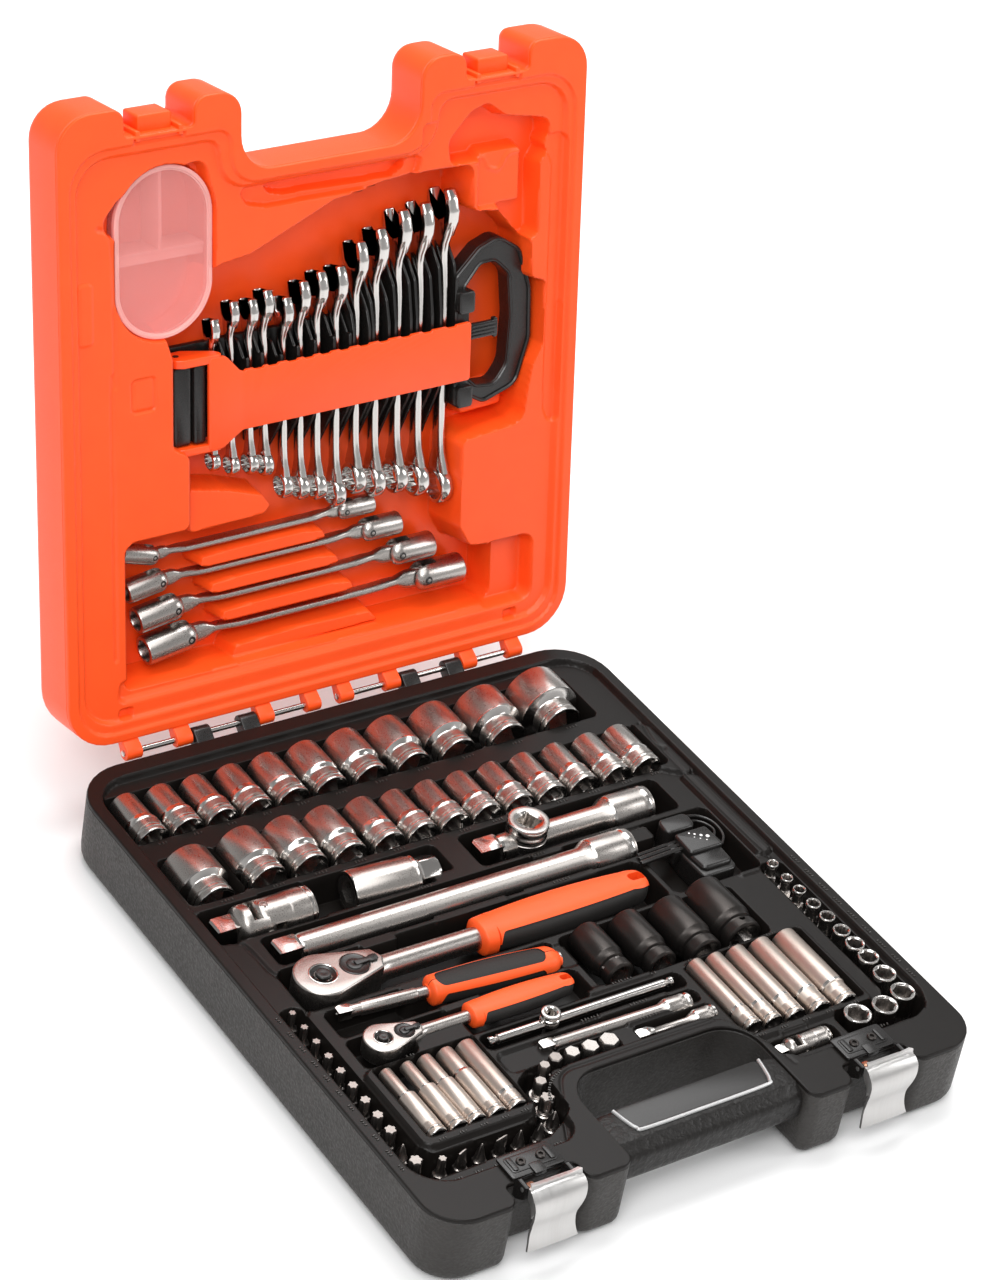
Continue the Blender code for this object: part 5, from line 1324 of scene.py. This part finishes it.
def bits():
    """The column of bits at the left, the curved row at the front, and the three large ones."""
    column = [bit(-172, -31 - 12.85 * k, 'cross' if k == 9 else 'star', 4.4 + 0.36 * k, 13 * k)
        for k in range(11)]
    piece("bits_left", "root", column, BIT_STEEL, sharp=35)
    front = ((-158, -164.6, 'star', 5.0, 10), (-145, -164.8, 'blade', 6.4, 20),
        (-132, -164.4, 'cross', 6.2, 20), (-119.5, -164.8, 'blade', 9.0, 12),
        (-106.5, -164.5, 'cross', 6.6, 30), (-93, -164.6, 'cross', 7.2, 15),
        (-80.5, -160, 'cross', 8.0, 40), (-77.6, -148, 'star', 8.6, 5), (-73.5, -135.5, 'hex', 6.6, 8),
        (-64, -125.5, 'hex', 6.0, 16), (-54.5, -122.5, 'hex', 7.2, 24))
    piece("bits_front", "root", [bit(*spec) for spec in front], BIT_STEEL, sharp=35)
    large = []
    for k, (x, y, flats) in enumerate(((-43, -122.6, 8.2), (-30.5, -122.8, 9.2), (-17.5, -122.8, 10.4))):
        hexagon = regular(flats, 6, BIT_N)
        profile = [(27.4, BIT_HEX), (37, BIT_HEX), (38, 0.98 * hexagon), (46.9, hexagon),
            (47.7, 0.90 * hexagon)]
        large.append(moved(turned(profile, n=BIT_N), x, y, roll=11 + 7 * k))
    # rings round the three bits that stand in the corner
    for x, y, r in ((-77.6, -148, 5.4), (-80.5, -160, 5.0), (-73.5, -135.5, 5.2)):
        ring = [(34, r, 0), (34.6, r + 0.4, 0), (36.4, r + 0.4, 0), (37, r - 0.2, 0), (37, r - 1.4, 0),
            (34, r - 1.4, 0)]
        large.append(moved(turned(ring, closed=True, n=BIT_N), x, y))
    piece("bits_large", "root", large, SATIN, sharp=35)


def marks():
    """Generic moulded strokes beside the tools, coloured lighter than the tray as a painted highlight."""
    made = []
    for k, (x, _) in enumerate(row_places()):
        made += ticks(x + 2, 131.6, 44.0, 4 if k > 3 else 3, size=0.9, seed=k)
    for k, (x, _) in enumerate(second_row_places()):
        made += ticks(x + 2, 71.4, 44.0, 4, size=0.9, seed=k)
    for k in range(11):
        made += ticks(-183, -34 - 12.8 * k, 48.0, 3, turn=-84, size=0.75, seed=k)
    for k in range(9):
        made += ticks(182.6, -36 - 14.2 * k, 48.0, 4, turn=-86, size=0.85, seed=k)
    rows = (((-156, -143, -130, -117, -104, -91), -178.5, 44.0, 3, 0.8),
        ((-149, -136, -122, -108, -95), -151.4, 47.2, 3, 0.75),
        ((68, 84, 100, 117, 136), -155.6, 46.6, 3, 0.8), ((40, 71, 101, 129), -83.6, 44.0, 4, 0.85))
    for xs, y, z, n, size in rows:
        for k, x in enumerate(xs):
            made += ticks(x, y, z, n, size=size, seed=k)
    for x, y, z, n in ((-16, -101.7, 45, 6), (18, -102, 45, 6), (20, -82.5, 45, 7), (17, -114.6, 45.5, 7),
            (-124, -85, 44, 6), (-40, 35.6, 44, 5), (40, 35, 43.5, 6), (92, 36, 44, 5), (40, 8.4, 44, 6),
            (142, -176.5, 44, 3), (160, -180.2, 44, 3)):
        made += ticks(x, y, z, n, size=0.85, seed=n)
    for k, angle in enumerate(range(110, 175, 13)):
        a = math.radians(angle)
        made += ticks(-52 + 27 * math.cos(a), -160 + 27 * math.sin(a), 48, 3, turn=angle - 90, size=0.8,
            seed=k)
    piece("tray_marks", "root", made, MARK_HIGHLIGHT)


def base_tools():
    """What lies in the base."""
    sockets()
    extension("extension_long_body", "extension_long", -151, 99, 22, 40.3, 12.7, 8.5, 12.2, 30, 15,
        "extension_250")
    extension("t_handle_body", "t_handle", 8, 134, 52.5, 40.5, 12.7, 8.0, 12.0, 30, 15, "extension_125")
    slider("t_handle_head", "t_handle_slider", 44, 52.5, 13.0, 24.5, 56.4, 12.9, "t_slider_half")
    t_bar()
    slider("small_t_head", "small_t_slider", -39, -94, 6.0, 36.5, 52.4, 6.4, "t_slider_quarter")
    extension("extension_medium", "root", -55, 48, -109, 42.4, 6.35, 3.9, 5.9, 17, 8, y1=-111)
    extension("extension_short", "root", 2.5, 57, -123.4, 41.2, 6.35, 2.6, 5.4, 14, 8, y1=-124)
    universal("large_universal", "large_joint", -174, 52.5, 12.7, 13, 64, 4.5,
        ("joint_half_male_fork", "joint_half_block", "joint_half_female_fork"))
    universal("small_universal", "small_joint", 69.5, -168, 6.35, 6.6, 37, 0,
        ("joint_quarter_male_fork", "joint_quarter_block", "joint_quarter_female_fork"))
    coupler()
    ratchet("large_wrench", "large_ratchet", -141, -12.7, 17.6, 22, 21, 7.6, (34, 118), (105, 229), 29,
        22, 12.7, "ratchet_half_button", ("ratchet_half", "ratchet_half_anvil", "ratchet_half_selector",
        "ratchet_half_grip"))
    ratchet("small_wrench", "small_ratchet", -138.5, -72.7, 11.6, 12, 14, 4.2, (22, 64), (57, 130), 19,
        14, 6.35, None, ("ratchet_quarter", "ratchet_quarter_anvil", "ratchet_quarter_selector",
        "ratchet_quarter_grip"))
    driver()
    key_holder()
    bits()
    marks()


# ---------------------------------------------------------------- tools in the lid
WRENCHES = tuple(zip((-70.5, -57.5, -44.7, -34.5, -21, -9.5, 2.5, 16, 30, 44, 60, 75.5, 93),
    (167, 162, 160.5, 158, 141, 138, 136, 128.5, 135, 130.5, 130, 125, 117),
    (257, 266, 265, 269, 262, 270, 274, 275, 288, 294, 303, 305, 311)))


def combination_wrench(k, x, ring_v, tip_v):
    """A combination wrench on edge: twelve-point ring below, open jaws above."""
    jaw = (14.2 + 1.0 * k) / 2
    eye = (12.6 + 0.92 * k) / 2
    w = -21.5
    thick = 2.0 + 0.05 * k
    bulk = 2.8 + 0.085 * k
    ring_x = x + 0.8
    # the ring's outside is rounded, its opening has twelve points
    half = 2.9 + 0.11 * k
    profile = [(-half, eye - 1.6), (-half + 0.35, eye - 0.7), (-half + 1.3, eye), (half - 1.3, eye),
        (half - 0.35, eye - 0.7), (half, eye - 1.6), (half, 0.74 * eye), (half - 0.6, twelve(1.34 * eye)),
        (-half + 0.6, twelve(1.34 * eye)), (-half, 0.74 * eye)]
    shapes = [through(moved(turned(profile, closed=True), along='X'),
        Matrix.Translation((ring_x, ring_v, w)))]
    # shank
    v0, v1 = ring_v + 0.86 * eye, tip_v - 1.55 * jaw
    rows = []
    for t in np.linspace(0, 1, 26):
        v = v0 + (v1 - v0) * t
        grow_low, grow_high = math.exp(-((v - v0) / (0.75 * eye)) ** 2), math.exp(-((v - v1)
            / (0.9 * jaw)) ** 2)
        wide = 2.9 + 0.17 * k + (0.62 * eye - 2.6) * grow_low + (0.66 * jaw - 2.4) * grow_high
        deep = thick + 0.5 * grow_low + 0.75 * grow_high
        sway = 0.8 * math.exp(-((v - v0) / (1.6 * eye)) ** 2) - 1.3 * math.exp(-((v - v1 + 1.2 * jaw)
            / (1.3 * jaw)) ** 2)
        line = squircle(20, 3) * (deep, wide)
        rows.append(np.column_stack([x + sway + line[:, 0], np.full(20, v), w + line[:, 1]]))
    shapes.append(lofted(rows[::-1]))
    # open jaws, turned a little
    slot, c = 0.50 * jaw, (tip_v - jaw, w)
    half_line = [(-0.62, -0.80, 0.4), (-0.1, -1.0, 0.5), (0.5, -0.98, 0.5), (0.98, -0.80, 0.14),
        (1.0, -0.52, 0.06)]
    line = [(a * jaw, b * jaw, r * jaw) for a, b, r in half_line]
    line += [(0.0, -slot, 0.3 * jaw), (-0.30 * jaw, -0.42 * slot, 0.2 * jaw),
        (-0.30 * jaw, 0.42 * slot, 0.2 * jaw), (0.0, slot, 0.3 * jaw)]
    line += [(a * jaw, -b * jaw, r * jaw) for a, b, r in half_line[::-1]]
    turn = math.radians(-13)
    cs, sn = math.cos(turn), math.sin(turn)
    line = [(c[0] + a * cs - b * sn, c[1] + a * sn + b * cs, r) for a, b, r in line]
    line = [(c[0] - 1.20 * jaw, w - 0.56 * jaw, 0.5)] + line + [(c[0] - 1.20 * jaw, w + 0.56 * jaw, 0.5)]
    jaws = across(outline(line, steps=4), x - bulk, x + bulk, min(0.16 * jaw + 0.5, 1.9))
    shapes.append(jaws)
    piece(f"combination_wrench_{k + 1:02d}", "wrench_rack", shapes, [BRIGHT], lid=True,
        sharp=55)


def rack():
    """The wrench rack: fins between the wrenches, end blocks and its pull handle."""
    shapes = [bar(-100, 105, 180, 240, -35.6, -31, 1.2, 4)]
    for k, (x, ring_v, tip_v) in enumerate(WRENCHES):
        high = min(tip_v - 1.05 * (14.2 + k) - 9, 246 + 3.0 * k)
        low = max(ring_v + 9, 158 - 1.0 * k)
        fin = outline([(low, -34, 1.5), (low + 9, -30.5, 3), (186, -13.6, 4), (234, -13.6, 5),
            (high - 12, -17, 6), (high, -26, 4), (high, -34, 1.5)], steps=4)
        for side in (-1, 1):
            if side > 0 and k < 12 and WRENCHES[k + 1][0] - x < 14:
                continue
            shapes.append(across(fin, x + side * 5.6 - 1.0, x + side * 5.6 + 1.0, 0.5))
    # pivot block at the left, latch blocks at the right
    shapes += [bar(-100.6, -89, 184, 233.4, -33, -13.4, 1.4, 2.0),
        bar(-87.8, -79.4, 184, 233.4, -33, -12.2, 1.4, 2.0), bar(-90, -87, 186, 231, -33, -16, 0.5, 0.5),
        bar(98.5, 110.4, 231.6, 246, -31, -9.6, 1.4, 2.4),
        bar(98.5, 110.4, 170, 184, -31, -9.6, 1.4, 2.4), bar(100, 108.6, 182, 232, -31, -13.5, 0.8, 1.5)]
    piece("rack_body", "wrench_rack", shapes, BLACK, "wrench_rack", lid=True, sharp=38)
    outer = [(99, 181, 4), (121, 168.5, 8), (146, 176.5, 12), (155.6, 206, 20), (154.8, 239, 20),
        (146, 266, 12), (130, 276.5, 10), (115, 271, 8), (98, 255, 6)]
    hole = [(107, 190, 5), (116, 181.5, 6), (130, 180, 8), (138.5, 191, 14), (140.5, 222, 18),
        (138, 250, 9), (127, 260.5, 7), (117, 260, 6), (106, 247, 5)]
    handle = [ring_of(outline(outer), outline(hole), -28, -15.2, 1.2)]
    handle.append(ring_of(outline(outer), outline(outer, 2.2), -16.5, -13.6, 0.7))
    handle.append(ring_of(outline(hole, -2.0), outline(hole), -16.5, -14.2, 0.7))
    piece("rack_pull", "wrench_rack", handle, BLACK, lid=True, sharp=38)


def strap():
    """The strap that closes the rack: band, ears, pin and tongue."""
    notches = []
    for x, _, _ in WRENCHES[::-1]:
        notches += [(x + 3.6, 226, 0.8), (x + 2.8, 225.0, 0.8), (x - 2.8, 225.0, 0.8),
            (x - 3.6, 226, 0.8)]
    top = [(107, 226.5, 2.0)] + [p for p in notches if -58 < p[0] < 104]
    line = [(-79.4, 179.5, 2), (-70, 179.5, 5), (-56, 188.5, 5),
        (107, 188.5, 2.0)] + top + [(-58, 226.4, 3), (-68, 237.5, 5), (-79.4, 237.5, 2)]
    band = slab(outline(line, steps=4), -11.4, -8.7, 0.55, 0.3)
    ears = []
    for v0, v1 in ((234.2, 239.4), (178.6, 183.2)):
        tab = outline([(-101.5, -25, 5), (-101.5, -12.5, 4), (-96, -9.4, 4), (-69, -9.0, 3),
            (-72, -16, 4), (-90, -26, 5)][::-1], steps=4)
        p, f, k = slab(tab, v0, v1, 0.6)
        ears.append((p[:, [0, 2, 1]], [tuple(face[::-1]) for face in f], k))
    piece("strap_band", "rack_strap", [band], ORANGE_DEEP, "rack_strap", lid=True,
        sharp=38)
    piece("strap_ears", "rack_strap", [joined(ears)], ORANGE_DEEP, lid=True, sharp=38)
    pin = moved(turned([(178.2, 1.5), (178.4, 1.9), (239.6, 1.9), (239.8, 1.5)], n=16), -96.5, 0, -18.5,
        along='Y')
    piece("strap_pin", "rack_strap", [pin], BLACK, lid=True)
    tongue = [bar(105.5, 127, 214.5, 224.5, -12.2, -9.0, 0.7, 1.4)]
    for k in range(4):
        tongue.append(bar(107.5, 125, 215.6 + 2.3 * k, 216.8 + 2.3 * k, -9.4, -8.3, 0.3, 0.4))
    tongue.append(bar(123.5, 127, 213, 226, -12.8, -9.2, 0.8, 1.6))
    piece("strap_tongue", "rack_strap", tongue, BLACK, lid=True)


def parts_boxes():
    """The clear parts box with its dividers and cover."""
    levels = [(-33.4, 3.2), (-32.9, 1.6), (-31.4, 0.9), (-14, 0.0), (-11.6, 0.0), (-11.4, -1.0),
        (-9.9, -1.0), (-9.8, -0.6)]
    inner = [(-9.8, 1.0), (-13, 1.3), (-31, 2.3), (-32.2, 3.2)]
    rings = [at_height(pill(31 - inset, 64), z) for z, inset in levels + inner]
    shell = lofted(rings, looks=[0, 0, 0, 0, 1, 1, 1, 1, 1, 0, 0, 0])
    walls = [bar(-139.3, -80.7, 307.6, 309.9, -32.3, -12.0, 0.3, 0.3),
        bar(-111.2, -108.8, 309.2, 358.5, -32.3, -12.0, 0.3, 0.3),
        bar(-139.3, -80.7, 302.5, 307.4, -14.2, -13.2, 0.3, 0.3)]
    piece("parts_tray", "parts_box", [shell], [CLEAR, CLEAR_EDGE], "parts_box", lid=True,
        sharp=40)
    piece("parts_dividers", "parts_box", walls, CLEAR_EDGE, lid=True, sharp=40)
    levels = [(-9.3, 1.6), (-9.3, -1.0), (-8.9, -1.4), (-8.1, -1.4), (-7.75, -1.1), (-7.65, -0.6),
        (-7.8, 0.8), (-8.5, 1.2), (-8.55, 2.0)]
    rings = [at_height(pill(31 - inset, 64), z) for z, inset in levels]
    piece("parts_lid", "parts_box_cover", [lofted(rings, looks=[0, 1, 1, 1, 1, 1, 1, 1, 0])],
        [CLEAR, CLEAR_EDGE], "parts_box_cover", lid=True, sharp=40)


FLEX = ((-111, 25, 113.5, 12.5, 16), (-106.5, 43.5, 96, 15, -8), (-96.5, 65.5, 76, 17, -8),
    (-88, 85, 55, 19, -8))


def flex_wrenches():
    """Flexible-head socket wrenches: a flat shank between two swivelling sockets."""
    w = -25.0
    for number, (xl, xr, v, width, tilt) in enumerate(FLEX, 1):
        r = width / 2
        rows = []
        for x in np.concatenate([[xl], np.linspace(xl + 0.15 * r, xl + 5.5 * r, 20),
                np.linspace(xl + 6 * r, xr - 6 * r, 8), np.linspace(xr - 5.5 * r, xr - 0.15 * r, 20),
                [xr]]):
            near = min(x - xl, xr - x) / r
            flare = 0.62 * math.exp(-((near - 1.15) / 1.0) ** 2) if near > 1.15 else 0.62
            eye = math.sqrt(max(0.62 ** 2 - max(0.0, 0.35 - near) ** 2, 0.02)) if near < 0.35 else flare
            half_v = max(1.75 + 0.03 * width, eye * r)
            thin = 0.36 * r
            half_w = thin + (4.3 - thin) * eased(np.clip((near - 1.5) / 2.2, 0, 1))
            lift = 0.10 * r * math.exp(-((near - 2.4) / 1.1) ** 2)
            line = squircle(24, 4) * (half_v, half_w)
            rows.append(np.column_stack([np.full(24, x), v + lift + line[:, 0], w + line[:, 1]]))
        shank = lofted(rows)
        eye = scaled([(-0.36, 0.56), (-0.30, 0.62), (0.30, 0.62), (0.36, 0.56)], 0, r, r)
        eyes = [moved(turned(eye), x, v, w) for x in (xl, xr)]
        piece(f"flex_shank_{number}", f"flex_wrench_{number}", [shank, *eyes], SATIN,
            f"flex_wrench_{number}", lid=True, sharp=50)
        length = 3.4 * r if r <= 7 else 3 * r
        for side, x, angle in (("left", xl, 180 - tilt), ("right", xr, 0)):
            hexagon = regular(1.36 * r, 6)
            ball = scaled([(-0.78, 0.30), (-0.70, 0.58), (-0.5, 0.82), (-0.25, 0.955), (0.05, 1),
                (0.1, 1)], 0, r, r)
            ball += [(length - 1.2, r), (length - 0.3, r - 0.35), (length, r - 0.9), (length, 0.74 * r),
                (length - 1.0, hexagon), (length - 1.35 * r, hexagon), (length - 1.4 * r, 0.3)]
            place = Matrix.Translation((x, v, w)) @ spun(angle)
            head = through(turned(ball), place @ LAY['X'])
            fork = [(-2 * r, -2 * r), (0.95 * r, -2 * r), (0.95 * r, 2 * r), (-2 * r, 2 * r)]
            gap = through(slab(fork, -0.42 * r, 0.42 * r), place)
            body = f"flex_wrench_{number}_head_{side}"
            piece(f"flex_socket_{number}_{side}", body, [head], SATIN, body, lid=True, sharp=40,
                cuts=[gap])
            hexagon = regular(0.26, 6, PLAIN)
            screw = scaled([(-0.93, 0.22), (-0.90, 0.28), (0.965, 0.28), (1, 0.25), (1, hexagon),
                (0.90, hexagon)], 0, r, r)
            piece(f"flex_screw_{number}_{side}", body, [moved(turned(screw, n=PLAIN), x, v, w)], BLACK,
                lid=True)


def lid_tools():
    for k, (x, ring_v, tip_v) in enumerate(WRENCHES):
        combination_wrench(k, x, ring_v, tip_v)
    rack()
    strap()
    parts_boxes()
    flex_wrenches()


def case():
    """The case without its tools."""
    base_case()
    lid_case()
    tray_sheet()
    liner_sheet()
    grip()
    latch("left", -116.0)
    latch("right", 116.0)


case()
base_tools()
lid_tools()


# ---------------------------------------------------------------- floor, light and camera
def studio():
    """The pale floor, the world and the lamps."""
    floor = bpy.data.meshes.new("floor")
    wide, under = 40.0, -0.0004
    floor.from_pydata([(-wide, -wide, under), (wide, -wide, under), (wide, wide, under),
        (-wide, wide, under)], [], [(0, 1, 2, 3)])
    pale = look("pale_floor", (0.86, 0.86, 0.86), (0.83, 0.83, 0.83), 0.7, patch=2.0, strength=0.02)
    floor.materials.append(pale)
    ground = bpy.data.objects.new("floor", floor)
    bpy.context.scene.collection.objects.link(ground)

    world = bpy.data.worlds.new("studio")
    bpy.context.scene.world = world
    world.use_nodes = True
    nodes, links = world.node_tree.nodes, world.node_tree.links
    place, split, ramp = nodes.new("ShaderNodeTexCoord"), nodes.new("ShaderNodeSeparateXYZ"), nodes.new(
        "ShaderNodeValToRGB")
    links.new(place.outputs["Generated"], split.inputs["Vector"])
    links.new(split.outputs["Z"], ramp.inputs["Fac"])
    ramp.color_ramp.elements[0].position, ramp.color_ramp.elements[0].color = 0.0, (0.92, 0.92, 0.92, 1)
    ramp.color_ramp.elements[1].position, ramp.color_ramp.elements[1].color = 0.8, (0.34, 0.34, 0.34, 1)
    links.new(ramp.outputs["Color"], nodes["Background"].inputs["Color"])
    nodes["Background"].inputs["Strength"].default_value = 0.72
    sun = bpy.data.lights.new("sky", 'SUN')
    sun.energy, sun.angle = 1.45, math.radians(50)
    high = bpy.data.objects.new("sky", sun)
    high.rotation_euler = Vector((0.30, 0.38, -0.88)).to_track_quat('-Z', 'Y').to_euler()
    bpy.context.scene.collection.objects.link(high)

    def panel(name, spot, aim, size, power):
        light = bpy.data.lights.new(name, 'AREA')
        light.shape, light.size, light.size_y, light.energy = 'RECTANGLE', size[0], size[1], power
        lamp = bpy.data.objects.new(name, light)
        lamp.location = spot
        lamp.rotation_euler = (Vector(aim) - Vector(spot)).to_track_quat('-Z', 'Y').to_euler()
        bpy.context.scene.collection.objects.link(lamp)

    panel("key", (-1.2, -1.0, 1.5), (0, 0, 0.1), (0.7, 0.7), 14)
    panel("side", (1.5, -0.9, 1.2), (0, 0, 0.1), (0.6, 0.9), 10)
    panel("top", (0.0, 0.3, 2.0), (0, 0.0, 0), (1.2, 0.5), 14)
    panel("far", (0.9, 1.3, 2.2), (0.9, 1.3, 0), (2.0, 2.0), 40)


def photographer():
    """The camera, where the photograph was taken from."""
    azimuth, elevation, roll = (math.radians(a) for a in (-39.849, 34.946, 10.669))
    forward = Vector((-math.sin(azimuth) * math.cos(elevation), math.cos(azimuth) * math.cos(elevation),
        -math.sin(elevation)))
    level = Vector((math.cos(azimuth), math.sin(azimuth), 0))
    up = level.cross(forward)
    right = level * math.cos(roll) + up * math.sin(roll)
    top = up * math.cos(roll) - level * math.sin(roll)
    lens = bpy.data.cameras.new("camera")
    lens.sensor_fit, lens.sensor_height, lens.lens = 'VERTICAL', 36.0, 106.17
    lens.clip_start, lens.clip_end = 0.05, 30.0
    camera = bpy.data.objects.new("camera", lens)
    camera.matrix_world = Matrix(((right.x, top.x, -forward.x, -1.1386),
        (right.y, top.y, -forward.y, -1.3026), (right.z, top.z, -forward.z, 1.4374), (0, 0, 0, 1)))
    bpy.context.scene.collection.objects.link(camera)
    bpy.context.scene.camera = camera


studio()
photographer()
bpy.context.scene.view_settings.view_transform = 'Standard'
